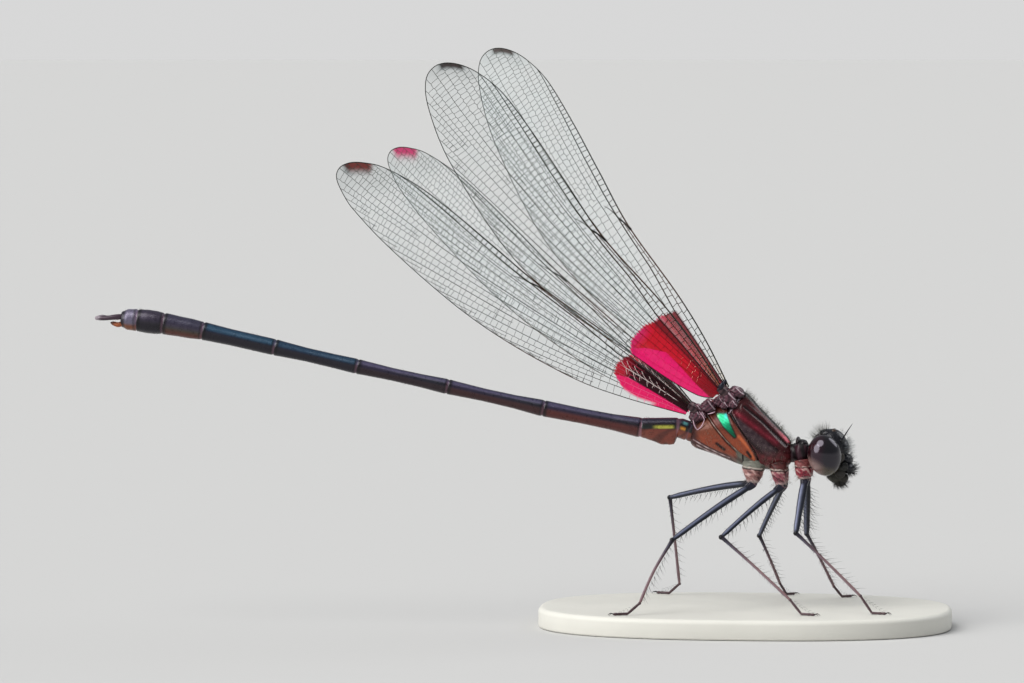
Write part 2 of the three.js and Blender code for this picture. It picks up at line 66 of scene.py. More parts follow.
def unit(a):
    a = np.asarray(a, float)
    return a / np.maximum(np.linalg.norm(a, axis=-1, keepdims=True), 1e-12)


def smooth(x, a, b):
    t = np.clip((np.asarray(x, float) - a) / (b - a), 0, 1)
    return t * t * (3 - 2 * t)


def lin(r, g, b):
    """A colour given as on a screen, 0 to 255, in the renderer's linear values."""
    c = np.array([r, g, b], float) / 255
    return np.where(c <= 0.04045, c / 12.92, ((c + 0.055) / 1.055) ** 2.4)


def mix(a, b, t):
    t = np.asarray(t, float)[..., None]
    return np.asarray(a) * (1 - t) + np.asarray(b) * t


def spline(points, t):
    """Smooth values at t (0 to 1 over the whole run) through rows of numbers."""
    p = np.asarray(points, float)
    n = len(p) - 1
    x = np.clip(np.asarray(t, float) * n, 0, n - 1e-9)
    i = x.astype(int)
    f = (x - i)[..., None]
    a, b, c, d = (p[np.clip(i + k, 0, n)] for k in (-1, 0, 1, 2))
    return 0.5 * (2 * b + (c - a) * f + (2 * a - 5 * b + 4 * c - d) * f**2 + (3 * b - a - 3 * c + d) * f**3)


def table(points, x):
    """Smooth values at x through (x, ...) rows, x rising."""
    p = np.asarray(points, float)
    x = np.clip(np.asarray(x, float), p[0, 0], p[-1, 0])
    i = np.clip(np.searchsorted(p[:, 0], x, side="right") - 1, 0, len(p) - 2)
    slope = np.gradient(p[:, 1:], p[:, 0], axis=0)
    w = p[i + 1, 0] - p[i, 0]
    t = ((x - p[i, 0]) / w)[..., None]
    w = w[..., None]
    a, b, m, n = p[i, 1:], p[i + 1, 1:], slope[i] * w, slope[i + 1] * w
    first = (2 * t**3 - 3 * t**2 + 1) * a + (t**3 - 2 * t**2 + t) * m
    return first + (3 * t**2 - 2 * t**3) * b + (t**3 - t**2) * n


def near_line(x, z, points):
    """Distance from each (x, z) to a broken line, and how far along it the nearest place is, 0 to 1."""
    best = np.full(np.shape(x), 1e9)
    place = np.zeros(np.shape(x))
    n = len(points) - 1
    for k in range(n):
        (ax, az), (bx, bz) = points[k], points[k + 1]
        dx, dz = bx - ax, bz - az
        t = np.clip(((x - ax) * dx + (z - az) * dz) / (dx * dx + dz * dz), 0, 1)
        d = np.hypot(x - ax - t * dx, z - az - t * dz)
        place = np.where(d < best, (k + t) / n, place)
        best = np.minimum(d, best)
    return best, place


# Meshes

class Bag:
    """Gathers vertices, faces, colours and finishes (roughness, metal, cover) of one piece."""

    def __init__(self):
        self.v, self.q, self.t, self.paint, self.finish, self.uv = [], [], [], [], [], []
        self.count = 0

    def add(self, verts, quads=(), tris=(), paint=(0.1, 0.1, 0.1), finish=(0.4, 0, 1), uv=None):
        verts = np.asarray(verts, float).reshape(-1, 3)
        n = len(verts)
        if len(quads):
            self.q.append(np.asarray(quads, int).reshape(-1, 4) + self.count)
        if len(tris):
            self.t.append(np.asarray(tris, int).reshape(-1, 3) + self.count)
        self.v.append(verts)
        self.paint.append(np.broadcast_to(np.asarray(paint, float), (n, 3)))
        self.finish.append(np.broadcast_to(np.asarray(finish, float), (n, 3)))
        self.uv.append(np.zeros((n, 2)) if uv is None else np.broadcast_to(np.asarray(uv, float), (n, 2)))
        self.count += n

    def grid(self, rings, paint, finish, closed=True, caps=True):
        """Quads over rings of points (rings, around, 3), joined round and capped."""
        r, m = rings.shape[:2]
        i = np.arange(r - 1)[:, None] * m
        j = np.arange(m if closed else m - 1)[None, :]
        k = (j + 1) % m
        quads = np.stack([i + j, i + k, i + m + k, i + m + j], -1).reshape(-1, 4)
        verts = rings.reshape(-1, 3)
        tris = []
        paint = np.broadcast_to(np.asarray(paint, float), (r, m, 3)).reshape(-1, 3)
        finish = np.broadcast_to(np.asarray(finish, float), (r, m, 3)).reshape(-1, 3)
        if closed and caps:
            verts = np.vstack([verts, rings[0].mean(0), rings[-1].mean(0)])
            j = np.arange(m)
            k = (j + 1) % m
            last = (r - 1) * m
            first = np.stack([np.full(m, r * m), k, j], -1)
            tris = np.vstack([first, np.stack([np.full(m, r * m + 1), last + j, last + k], -1)])
            paint = np.vstack([paint, paint[0], paint[-1]])
            finish = np.vstack([finish, finish[0], finish[-1]])
        self.add(verts, quads, tris, paint, finish)

    def make(self, name, material, nodes=(), bake_map=False):
        verts = np.vstack(self.v) * MM
        quads = np.vstack(self.q) if self.q else np.zeros((0, 4), int)
        tris = np.vstack(self.t) if self.t else np.zeros((0, 3), int)
        mesh = bpy.data.meshes.new(name)
        mesh.vertices.add(len(verts))
        mesh.vertices.foreach_set("co", verts.ravel())
        corners = np.concatenate([quads.ravel(), tris.ravel()])
        mesh.loops.add(len(corners))
        mesh.loops.foreach_set("vertex_index", corners)
        starts = np.concatenate([np.arange(len(quads)) * 4, len(quads) * 4 + np.arange(len(tris)) * 3])
        mesh.polygons.add(len(starts))
        mesh.polygons.foreach_set("loop_start", starts)
        mesh.polygons.foreach_set("use_smooth", np.ones(len(starts), bool))
        mesh.update(calc_edges=True)
        for title, values in (("paint", self.paint), ("finish", self.finish)):
            layer = mesh.color_attributes.new(title, "FLOAT_COLOR", "POINT")
            values = np.vstack(values)
            layer.data.foreach_set("color", np.hstack([values, np.ones((len(values), 1))]).ravel())
        if bake_map:
            layer = mesh.uv_layers.new(name="OFBake")
            layer.data.foreach_set("uv", np.vstack(self.uv)[corners].ravel())
        mesh.validate()
        mesh.materials.append(material)
        obj = bpy.data.objects.new(name, mesh)
        bpy.context.collection.objects.link(obj)
        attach(obj, "root")
        if nodes:
            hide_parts(*nodes)


def tube(path, wide, high=None, around=16):
    """Rings about a path; wide and high are half sizes, one for each point."""
    path = np.asarray(path, float)
    wide = np.broadcast_to(np.asarray(wide, float), (len(path),))
    high = wide if high is None else np.broadcast_to(np.asarray(high, float), (len(path),))
    along = unit(np.gradient(path, axis=0))
    up = unit(np.cross(along, vec(0, 1, 0)))
    across = unit(np.cross(up, along))
    a = np.arange(around) / around * 2 * np.pi
    sideways = across[:, None] * (wide[:, None] * np.cos(a))[..., None]
    return path[:, None] + sideways + up[:, None] * (high[:, None] * np.sin(a))[..., None]


def turned(p, turn):
    """Points turned about Y."""
    c, s = math.cos(turn), math.sin(turn)
    return np.stack([p[..., 0] * c + p[..., 2] * s, p[..., 1], -p[..., 0] * s + p[..., 2] * c], -1)


def ball(centre, radii, around=32, rows=20, turn=0.0):
    """Rings of an ellipsoid, its poles along Y, turned about Y."""
    b = np.linspace(0.02, np.pi - 0.02, rows)[:, None]
    a = np.arange(around)[None] / around * 2 * np.pi
    p = np.stack([np.sin(b) * np.cos(a), -np.cos(b) + 0 * a, np.sin(b) * np.sin(a)], -1) * np.asarray(radii)
    return turned(p, turn) + np.asarray(centre)


def hairs(bag, roots, directions, lengths, radius, paint, bend=0.15):
    """Thin curved three-sided cones, each from a root in a direction."""
    roots = np.asarray(roots, float)
    directions = unit(directions)
    n = len(roots)
    lengths = np.broadcast_to(np.asarray(lengths, float), (n,))
    radius = np.broadcast_to(np.asarray(radius, float), (n,))
    aside = unit(np.cross(directions, rng.normal(size=(n, 3))))
    other = np.cross(directions, aside)
    sway = aside * np.cos(rng.uniform(0, 6.28, n))[:, None]
    sway = sway + other * np.sin(rng.uniform(0, 6.28, n))[:, None]
    rings = []
    # Place along the hair and share of its half thickness
    for s, f in ((-0.06, 1.0), (0.45, 0.6), (1.0, 0.12)):
        centre = roots + directions * (lengths * s)[:, None]
        centre = centre + sway * (bend * lengths * max(s, 0) ** 2)[:, None]
        for k in range(3):
            a = k * 2.0944
            rings.append(centre + (aside * math.cos(a) + other * math.sin(a)) * (radius * f)[:, None])
    verts = np.stack(rings, 1).reshape(-1, 3)
    base = (np.arange(n) * 9)[:, None]
    sides = ((0, 1), (1, 2), (2, 0), (3, 4), (4, 5), (5, 3))
    quads = np.array([(a, b, b + 3, a + 3) for a, b in sides])
    low, high = roots.min(0), roots.max(0)
    place = (roots - low) / np.maximum(high - low, 1e-6)
    # Each hair has a small patch of its own in the OFBake map
    corner = np.stack([place[:, 0], 0.5 * place[:, 1] + 0.5 * place[:, 2]], -1) * 0.95 + 0.02
    patch = np.tile([(0.0015 * a, 0.0015 * b) for b in range(3) for a in range(3)], (n, 1))
    bag.add(
        verts,
        (base[:, None] + quads[None]).reshape(-1, 4),
        (base + np.array([[8, 7, 6]])).reshape(-1, 3),
        np.repeat(np.broadcast_to(paint, (n, 3)), 9, axis=0),
        (0.45, 0, 1),
        np.repeat(corner, 9, axis=0) + patch,
    )


# Materials

def surface(
    name, grain=0.08, grain_mm=0.12, bump=0.15, bump_mm=0.06, coat=0.0, spec=0.25, pits=0, see_through=False
):
    """A material that takes colour and finish from the painted values, with fine grain and relief."""
    material = bpy.data.materials.new(name)
    material.use_nodes = True
    nodes, links = material.node_tree.nodes, material.node_tree.links
    shader = nodes["Principled BSDF"]
    shader.inputs["Specular IOR Level"].default_value = spec
    shader.inputs["IOR"].default_value = 1.5
    shader.inputs["Coat Weight"].default_value = coat
    shader.inputs["Coat Roughness"].default_value = 0.12
    paint = nodes.new("ShaderNodeAttribute")
    paint.attribute_name = "paint"
    finish = nodes.new("ShaderNodeAttribute")
    finish.attribute_name = "finish"
    split = nodes.new("ShaderNodeSeparateColor")
    links.new(finish.outputs["Color"], split.inputs["Color"])
    place = nodes.new("ShaderNodeTexCoord")

    def noise(size_mm, detail):
        node = nodes.new("ShaderNodeTexNoise")
        node.inputs["Scale"].default_value = 1 / (size_mm * MM)
        node.inputs["Detail"].default_value = detail
        links.new(place.outputs["Object"], node.inputs["Vector"])
        return node

    def maths(kind, a, b):
        node = nodes.new("ShaderNodeMath")
        node.operation = kind
        for k, value in enumerate((a, b)):
            if isinstance(value, (int, float)):
                node.inputs[k].default_value = value
            else:
                links.new(value, node.inputs[k])
        return node.outputs[0]

    cloud = noise(grain_mm, 4)
    shade = maths("ADD", maths("MULTIPLY", maths("SUBTRACT", cloud.outputs["Fac"], 0.5), 4 * grain), 1.0)
    tint = nodes.new("ShaderNodeVectorMath")
    tint.operation = "SCALE"
    links.new(paint.outputs["Color"], tint.inputs[0])
    links.new(shade, tint.inputs["Scale"])
    links.new(tint.outputs["Vector"], shader.inputs["Base Color"])
    uneven = maths("MULTIPLY", maths("SUBTRACT", cloud.outputs["Fac"], 0.5), 0.25)
    links.new(maths("ADD", split.outputs["Red"], uneven), shader.inputs["Roughness"])
    links.new(split.outputs["Green"], shader.inputs["Metallic"])
    if see_through:
        links.new(split.outputs["Blue"], shader.inputs["Alpha"])
    relief = noise(bump_mm, 3).outputs["Fac"]
    if pits:
        cells = nodes.new("ShaderNodeTexVoronoi")
        cells.inputs["Scale"].default_value = 1 / (pits * MM)
        links.new(place.outputs["Object"], cells.inputs["Vector"])
        relief = maths("ADD", maths("MULTIPLY", relief, 0.3), cells.outputs["Distance"])
    raised = nodes.new("ShaderNodeBump")
    raised.inputs["Strength"].default_value = bump
    raised.inputs["Distance"].default_value = 0.03 * MM
    links.new(relief, raised.inputs["Height"])
    links.new(raised.outputs["Normal"], shader.inputs["Normal"])
    return material


neck_shell = surface("neck_shell", grain=0.2, grain_mm=0.2, bump=0.6, bump_mm=0.12, coat=0.12)
tail_shell = surface("tail_shell", grain=0.15, grain_mm=0.25, bump=0.35, bump_mm=0.05, coat=0.1, spec=0.35)
face_shell = surface("face_shell", grain=0.15, bump=0.5, coat=0.25, pits=0.09)
eye_shell = surface("eye_shell", grain_mm=0.5, bump=0.03, spec=0.66, pits=0.035)
eye_shell.node_tree.nodes["Principled BSDF"].inputs["Specular Tint"].default_value = (0.9, 0.84, 1, 1)
leg_shell = surface("leg_shell", grain=0.15, bump=0.35, coat=0.05)
vein_shell = surface("vein_shell", grain=0.1, bump=0.1)
membrane_skin = surface(
    "membrane_skin", grain=0.1, grain_mm=0.3, bump=0.35, bump_mm=0.35, spec=0.3, see_through=True
)
hair_shell = surface("hair_shell", grain=0.05, bump=0.05)


# Wings: the same margin and patch as the solids

margins = {
    "fore": [
        (0, 0.008), (0.12, 0.024), (0.25, 0.03), (0.45, 0.026), (0.6, 0.043), (0.735, 0.06), (0.847, 0.068),
        (0.92, 0.056), (0.968, 0.033), (0.994, 0.003), (0.995, -0.03), (0.972, -0.058), (0.931, -0.082),
        (0.86, -0.11), (0.787, -0.128), (0.663, -0.148), (0.54, -0.156), (0.4, -0.144), (0.295, -0.121),
        (0.194, -0.094), (0.1, -0.07), (0.03, -0.045), (0, -0.022),
    ],
    "hind": [
        (0, 0.005), (0.1, 0.022), (0.22, 0.031), (0.448, 0.037), (0.6, 0.055), (0.715, 0.069), (0.82, 0.076),
        (0.909, 0.068), (0.955, 0.051), (0.986, 0.03), (1, 0.004), (0.99, -0.022), (0.945, -0.05),
        (0.907, -0.063), (0.843, -0.08), (0.774, -0.093), (0.68, -0.107), (0.58, -0.117), (0.475, -0.119),
        (0.36, -0.112), (0.247, -0.097), (0.145, -0.07), (0.062, -0.042), (0, -0.02),
    ],
}
FRONT_CORNER, REAR_CORNER = 0.41, 0.86
NODUS = 0.515  # place along the front edge where it has its kink
SUBCOSTA, RADIUS_VEIN, WHITE_VEIN = 0.125, 0.2, 0.33  # places of three long veins across the wing
wing_length = {"fore": 26.6, "hind": 25.8}
wing_tilt = {"fore": 0.2, "hind": 0.42}
wing_ends = {
    ("fore", "right"): (vec(-1.45, -1.22, 14.3), vec(-17.82, -8.2, 34.07)),
    ("fore", "left"): (vec(-1.25, 1.22, 14.3), vec(-16.41, 8.2, 34.98)),
    ("hind", "right"): (vec(-3.3, -1.05, 13.3), vec(-23.88, -6.9, 27.71)),
    ("hind", "left"): (vec(-3.3, 1.05, 13.3), vec(-22.3, 8.4, 28.0)),
}


def distances(points):
    """Distance of each point from the first, along the line."""
    return np.concatenate([[0], np.cumsum(np.linalg.norm(np.diff(points, axis=0), axis=1))])


def margin_walk(pair):
    """Points spaced evenly by share of length round the margin."""
    dense = spline(margins[pair], np.linspace(0, 1, 1500))
    run = distances(dense)
    return lambda s: np.stack([np.interp(np.clip(s, 0, 1) * run[-1], run, dense[:, k]) for k in (0, 1)], -1)


def lead(u, w):
    """Draws the veins of the front edge together towards the tip."""
    f = np.interp(u, [0, 0.22, 0.36, 0.52, 0.7, 0.9, 1], [1, 0.95, 0.62, 0.42, 0.38, 0.26, 0.16])
    front = w * f
    rear = RADIUS_VEIN * f + (w - RADIUS_VEIN) / (1 - RADIUS_VEIN) * (1 - RADIUS_VEIN * f)
    return np.where(w < RADIUS_VEIN, front, rear)


def wing_patch(walk):
    def at(u, w):
        u, w = np.broadcast_arrays(np.asarray(u, float), np.asarray(w, float))
        w = lead(u, w)
        U, W = u[..., None], w[..., None]
        front, rear = walk(FRONT_CORNER * u), walk(1 + (REAR_CORNER - 1) * u)
        root = walk(0 * w) * (1 - W) + walk(0 * w + 1) * W
        rim = walk(FRONT_CORNER + (REAR_CORNER - FRONT_CORNER) * w)
        c0, c1 = walk(0 * w + FRONT_CORNER), walk(0 * w + REAR_CORNER)
        corners = root * (1 - U) + (c0 * (1 - W) + c1 * W) * U
        return front * (1 - W) + rear * W + root * (1 - U) + rim * U - corners
    return at


def wing_space(pair, side):
    """A function from (x, y) shares and a height in mm to a point of the model."""
    root, tip = wing_ends[pair, side]
    out = 1 if side == "left" else -1
    length, tilt = wing_length[pair], wing_tilt[pair]
    along = unit(tip - root)
    chord = unit(vec(-along[2], 0, along[0]))
    outward = unit(np.cross(along, chord))
    outward = outward if outward[1] * out > 0 else -outward
    chord = chord * math.cos(tilt) + outward * math.sin(tilt)
    face = unit(np.cross(along, chord))
    face = face if face[1] * out > 0 else -face

    def place(p, height=0.0):
        x, y = p[..., 0], p[..., 1]
        camber = 0.35 * np.sin(np.pi * np.minimum(np.maximum(x, 0) * 1.1, 1)) * (1 - (y / 0.15) ** 2)
        flat = root + along * (x * length)[..., None] + chord * (-y * length)[..., None]
        return flat + face * (camber + height)[..., None]
    return place


clear = lin(196, 220, 222)
hot_pink, crimson, magenta = lin(255, 12, 116), lin(216, 0, 34), lin(220, 4, 100)
black_red, amber = lin(26, 2, 7), lin(186, 146, 58)
# Outer end of the coloured patch: y share, x share
patch_end = {
    "fore": [
        (-0.105, 0.196), (-0.092, 0.217), (-0.076, 0.2326), (-0.035, 0.2375), (0.005, 0.223), (0.03, 0.21),
    ],
    "hind": [(-0.07, 0.13), (-0.057, 0.158), (-0.037, 0.2), (-0.014, 0.206), (0.011, 0.197), (0.03, 0.176)],
}
# Line behind which the patch is pink: x share, y share
pink_line = {
    "fore": [(0, -0.026), (0.05, -0.031), (0.12, -0.033), (0.155, -0.036), (0.194, -0.064), (0.24, -0.12)],
    "hind": [(0, -0.014), (0.05, -0.017), (0.1, -0.02), (0.165, -0.026), (0.2, -0.04), (0.24, -0.05)],
}
# Spot along the margin at the tip, from one place to the other
tip_spot = {
    "fore": [(0.945, 0.047), (0.968, 0.033), (0.985, 0.016), (0.996, -0.01)],
    "hind": [(0.93, 0.0605), (0.955, 0.051), (0.986, 0.03), (0.999, 0.004)],
}


def patch_cover(pair, x, y, w):
    """How far each place lies inside the coloured patch, 0 to 1."""
    end = np.array(patch_end[pair])
    inside = smooth(x - np.interp(y, end[:, 0], end[:, 1]) + 0.002 * np.sin(y * 900), 0.003, -0.003)
    return inside * (smooth(w, 0.16, 0.2) if pair == "fore" else smooth(w, 0.1, 0.15))


def behind_line(pair, x, y):
    line = np.array(pink_line[pair])
    return smooth(np.interp(x, line[:, 0], line[:, 1]) - y, -0.0015, 0.0015)


def membrane_paint(pair, side, p, w):
    """Colour and cover of the membrane at shares p of the wing's length."""
    x, y = p[..., 0], p[..., 1]
    colour = np.broadcast_to(clear, x.shape + (3,)).copy()
    # Painted sheen: the pale cover of the clear membrane comes in blotches and grows towards the tip
    painted_sheen = 0.5 + 0.5 * np.sin(x * 31 + y * 55) * np.sin(y * 70 - x * 17 + 1)
    cover = 0.06 + 0.07 * painted_sheen + 0.03 * smooth(x, 0.6, 1)
    patch = patch_cover(pair, x, y, w)
    behind = behind_line(pair, x, y)
    if pair == "fore":
        red = mix(crimson, lin(112, 0, 14), smooth(x, 0.12, 0.02) * 0.8)
        red = mix(red, lin(104, 8, 22), 0.8 * smooth(w, 0.34, 0.24))
        red = mix(red, hot_pink, behind)
        # Painted shade: the left forewing's patch is darker towards its front edge, as the far wing lies in
        # shade
        if side == "left":
            red = mix(red, lin(92, 8, 22), 0.75 * smooth(w, 0.6, 0.3))
        outer = np.array(patch_end[pair])
        rim = np.interp(y, outer[:, 0], outer[:, 1]) - x
        red = mix(red, magenta, smooth(rim, 0.034, 0.004) * smooth(y, -0.02, -0.05))
        cover = np.maximum(cover, 0.985 * patch)
        front = smooth(w, 0.19, 0.14) * smooth(x, 0.14, 0.02)
        colour = mix(colour, amber, 0.8 * front)
        cover = np.maximum(cover, 0.3 * front)
        spot = lin(40, 20, 16) if side == "right" else lin(46, 30, 28)
    else:
        red = mix(black_red, lin(196, 10, 44), smooth(x, 0.158, 0.186) * smooth(y, 0.03, -0.02))
        red = mix(red, lin(250, 16, 106), behind)
        edge = smooth(y, -0.062, -0.05) * np.maximum(smooth(w, 1.0, 0.86), smooth(x, 0.1, 0.07))
        patch = patch * np.where(behind > 0.5, np.maximum(edge, 0.12), 1)
        cover = np.maximum(cover, 0.985 * patch)
        front = smooth(w, 0.15, 0.08) * smooth(x, 0.26, 0.02)
        colour = mix(colour, lin(70, 30, 14), front)
        cover = np.maximum(cover, 0.55 * front)
        spot = lin(106, 16, 4) if side == "right" else lin(176, 34, 92)
    colour = mix(colour, red, patch)
    d, t = near_line(x, y, tip_spot[pair])
    deep = 0.046 if pair == "hind" else 0.022
    spot = mix(spot, lin(20, 12, 9), smooth(np.abs(t - 0.4), 0.26, 0.5) * (side == "right"))
    tip = smooth(d, deep, deep * 0.2) * smooth(t, -0.02, 0.16) * smooth(t, 1.02, 0.8)
    colour = mix(colour, spot, tip)
    cover = np.maximum(cover, 0.96 * tip)
    shade = smooth(d, deep * 2.6, deep * 0.6)
    colour = mix(colour, lin(70, 56, 48), 0.5 * shade * (1 - tip))
    cover = np.maximum(cover, 0.3 * shade)
    rough = np.where(cover > 0.5, 0.5, 0.12)
    return colour, np.stack([rough, 0 * rough, cover], -1)


def vein_paint(pair, x, y, w, crossing=False):
    dark = mix(lin(28, 30, 20), lin(52, 60, 50), smooth(x, 0.3, 0.9) * smooth(w, 0.1, 0.3))
    rust = smooth(w, 0.24, 0.15) * smooth(x, 0.18, 0.3) * smooth(x, 0.55, 0.42)
    colour = mix(dark, lin(86, 44, 20), 0.6 * rust)
    inner = patch_cover(pair, x, y, w)
    behind = behind_line(pair, x, y)
    if pair == "fore":
        tone = mix(mix(lin(168, 4, 26), lin(52, 8, 14), smooth(w, 0.36, 0.24)), lin(246, 20, 110), behind)
        if crossing:
            pale = smooth(np.hypot((x - 0.083) / 0.04, (y + 0.014) / 0.013), 1.1, 0.8)
            tone = mix(tone, lin(250, 170, 150), pale)
        return mix(colour, tone, inner)
    tone = mix(lin(44, 4, 12), lin(196, 70, 92), smooth(x, 0.13, 0.16) * smooth(y, 0.02, 0.0))
    tone = mix(tone, lin(255, 90, 150), behind)
    colour = mix(colour, tone, inner)
    white = smooth(np.abs(w - WHITE_VEIN), 0.03, 0.02) * smooth(x, 0.2, 0.17) * smooth(x, 0.03, 0.045)
    return mix(colour, lin(232, 222, 218), white)


def strand(bag, place, p, radius, paint):
    """A four-sided thread through points p given in the wing's own shares."""
    q = place(p)
    up = place(p, 0.5) - place(p, -0.5)
    across = unit(np.cross(unit(np.gradient(q, axis=0)), up))
    up = unit(up)
    radius = np.broadcast_to(radius, (len(p),))[:, None]
    rings = np.stack([q + across * radius, q + up * radius, q - across * radius, q - up * radius], 1)
    bag.grid(rings, np.reshape(paint, (-1, 1, 3)), (0.4, 0, 1))


# Long veins: place across the wing, and half thickness in mm
main_veins = [
    (0, 0.043), (SUBCOSTA, 0.024), (RADIUS_VEIN, 0.038), (0.255, 0.02), (WHITE_VEIN, 0.024),
    (0.42, 0.018), (0.53, 0.022), (0.66, 0.018), (0.82, 0.018), (1, 0.022),
]
FINE = 0.0135  # half thickness of the veins between the main ones
CROSS, FRONT_CROSS = 0.011, 0.02  # half thickness of a cross vein, and of one in the front edge
CELL_WIDE = 0.6  # two veins further apart than this get another between them
CELL_LONG = 0.41  # distance between cross veins, shorter towards the tip
FRONT_CELL, OUTER_CELL = 0.56, 0.42  # the same in the front edge, inside and outside of the nodus
DEEPEST = 5  # how often a strip may be divided
# Each vein is followed at these places along the wing
SAMPLES = 300
along_vein = np.linspace(0, 1, SAMPLES) ** 0.9
KINK = int(np.searchsorted(along_vein, NODUS))
ROOT_GAP, TIP_GAP = 3, 8  # samples without cross veins at the two ends


def follow(at, w):
    """The vein at place w, in shares of the wing's length."""
    return at(along_vein, np.full(SAMPLES, w))


def vein_plan(at, length):
    """Veins as (place, first and last sample, half thickness), and the strips of cells between them."""
    lines = [(w, 0, KINK if w == SUBCOSTA else SAMPLES, radius) for w, radius in main_veins]
    strips = []

    def apart(a, b):
        pa, pb = follow(at, a) * length, follow(at, b) * length
        d = np.linalg.norm(pa[:, None] - pb[None, ::2], axis=2)
        return d.min(1), d.argmin(1) * 2

    def divide(a, b, start, depth):
        """Puts another vein into a strip where it grows too wide."""
        d, near = apart(a, b)
        limit = CELL_WIDE * (0.92 + 0.16 * ((depth + int(a * 100)) % 2))
        wide = np.nonzero((d > limit) & (np.arange(SAMPLES) >= start))[0]
        if depth < DEEPEST and a >= RADIUS_VEIN and len(wide) and wide[0] < SAMPLES - 12:
            begin, middle = int(wide[0]), (a + b) / 2
            lines.append((middle, begin, SAMPLES, FINE))
            strips.append((a, b, start, begin, d, near))
            divide(a, middle, begin, depth + 1)
            divide(middle, b, begin, depth + 1)
        else:
            strips.append((a, b, start, SAMPLES - 1, d, near))

    places = [w for w, _ in main_veins]
    for a, b in zip(places, places[1:]):
        if b <= RADIUS_VEIN:
            strips.append((a, b, ROOT_GAP, KINK, *apart(a, b)))
        else:
            divide(a, b, ROOT_GAP, 0)
    strips.append((0, RADIUS_VEIN, KINK + ROOT_GAP, SAMPLES - TIP_GAP, *apart(0, RADIUS_VEIN)))
    return lines, strips


def cross_veins(at, length, strips):
    """Cross veins as (vein, sample, next vein, sample), and where each vein bends to meet them."""
    crossings, bends = [], {}
    for a, b, start, stop, d, near in strips:
        run = distances(follow(at, a) * length)
        step = FRONT_CELL if b <= RADIUS_VEIN else CELL_LONG + 0.08 * smooth(d[stop], 0.3, 0.6)
        if a == 0 and b == RADIUS_VEIN:
            step = OUTER_CELL
        s = run[start] + rng.uniform(0.1, 0.3)
        while s < run[stop] - 0.08:
            i = int(np.searchsorted(run, s))
            j = int(near[i])
            if 0 < i < SAMPLES - 2 and 0 < j < SAMPLES - 2 and d[i] > 0.09:
                crossings.append((a, i, b, j))
                bends.setdefault(a, []).append((i, 1, d[i]))
                bends.setdefault(b, []).append((j, -1, d[i]))
            s += step * rng.uniform(0.85, 1.15) * (1 - 0.4 * smooth(along_vein[i], 0.55, 0.95))
        if stop < SAMPLES - TIP_GAP and b > RADIUS_VEIN:
            crossings.append((a, stop, b, int(near[stop])))
    return crossings, bends


def bent(at, w, length, bends):
    """A fine vein, pushed to and fro where cross veins meet it."""
    p = follow(at, w)
    towards = unit(at(along_vein, np.full(SAMPLES, min(w + 0.01, 1))) - p)
    push = np.zeros(SAMPLES)
    for i, sign, d in bends:
        push += sign * 0.09 * min(d, 0.5) * np.exp(-(((np.arange(SAMPLES) - i) / 1.1) ** 2))
    return p + towards * (push / length)[:, None]


def white_veinlets(bag, at, place):
    """Pale veinlets on both sides of the white vein in the dark patch."""
    for k, start in enumerate(np.linspace(0.07, 0.2, 7)):
        for end, lean in ((0.21, 0.01), (0.46 + 0.04 * (k % 2), 0.018)):
            p = at(start + np.linspace(0, lean, 4), np.linspace(WHITE_VEIN, end, 4))
            strand(bag, place, p, 0.017, lin(232, 216, 212))


def nodus(bag, at, place):
    """The stout crossing at the kink of the front edge, and the short vein that leaves it."""
    p = at(np.linspace(NODUS, NODUS + 0.003, 8), np.linspace(0, RADIUS_VEIN, 8))
    strand(bag, place, p, [0.085, 0.08, 0.06, 0.045, 0.045, 0.055, 0.06, 0.04], lin(16, 14, 12))
    rear = RADIUS_VEIN + np.array([0, 0, 0.002, 0.006, 0.012, 0.02, 0.03, 0.042])
    p = at(np.linspace(NODUS + 0.003, NODUS + 0.028, 8), rear)
    strand(bag, place, p, np.linspace(0.045, 0.014, 8), lin(22, 20, 15))


def make_wing(pair, side):
    length = wing_length[pair]
    walk = margin_walk(pair)
    at, place = wing_patch(walk), wing_space(pair, side)
    name = pair + "wing_" + side

    u, w = np.meshgrid(np.linspace(0, 1, 330), np.linspace(0, 1, 130))
    p = at(u, w)
    skin = Bag()
    skin.grid(place(p), *membrane_paint(pair, side, p, w), closed=False)
    skin.make(name, membrane_skin, [name])

    lines, strips = vein_plan(at, length)
    crossings, bends = cross_veins(at, length, strips)
    threads = Bag()
    shaped = {}
    for w, begin, end, radius in lines:
        fine = radius == FINE
        shaped[w] = bent(at, w, length, bends.get(w, [])) if fine else follow(at, w)
        p = shaped[w][begin:end]
        x, y = p.T
        thickness = radius if fine else radius * (1 - 0.4 * smooth(x, 0.45, 1))
        strand(threads, place, p, thickness, vein_paint(pair, x, y, np.full(len(x), w)))
    for a, i, b, j in crossings:
        ends = np.stack([shaped[a][i], shaped[b][j]])
        paint = vein_paint(pair, *ends.T, np.array([a + 0.001, b - 0.001]), True)
        strand(threads, place, ends, FRONT_CROSS if b <= RADIUS_VEIN else CROSS, paint)
    if pair == "hind":
        white_veinlets(threads, at, place)
    edge = walk(np.linspace(0, 1, 500))
    strand(threads, place, edge, 0.025, vein_paint(pair, *edge.T, np.full(500, 0.06)))
    nodus(threads, at, place)
    # Arculus near the root
    p = at(np.full(8, 0.075), np.linspace(RADIUS_VEIN, 0.46, 8))
    strand(threads, place, p, 0.04, vein_paint(pair, *p.T, np.full(8, 0.3)))
    threads.make(name + "_veins", vein_shell)


for pair in ("fore", "hind"):
    for side in ("right", "left"):
        make_wing(pair, side)


# Chest

CHEST_REAR, CHEST_FRONT = -3.3, 2.8  # its ends along the body
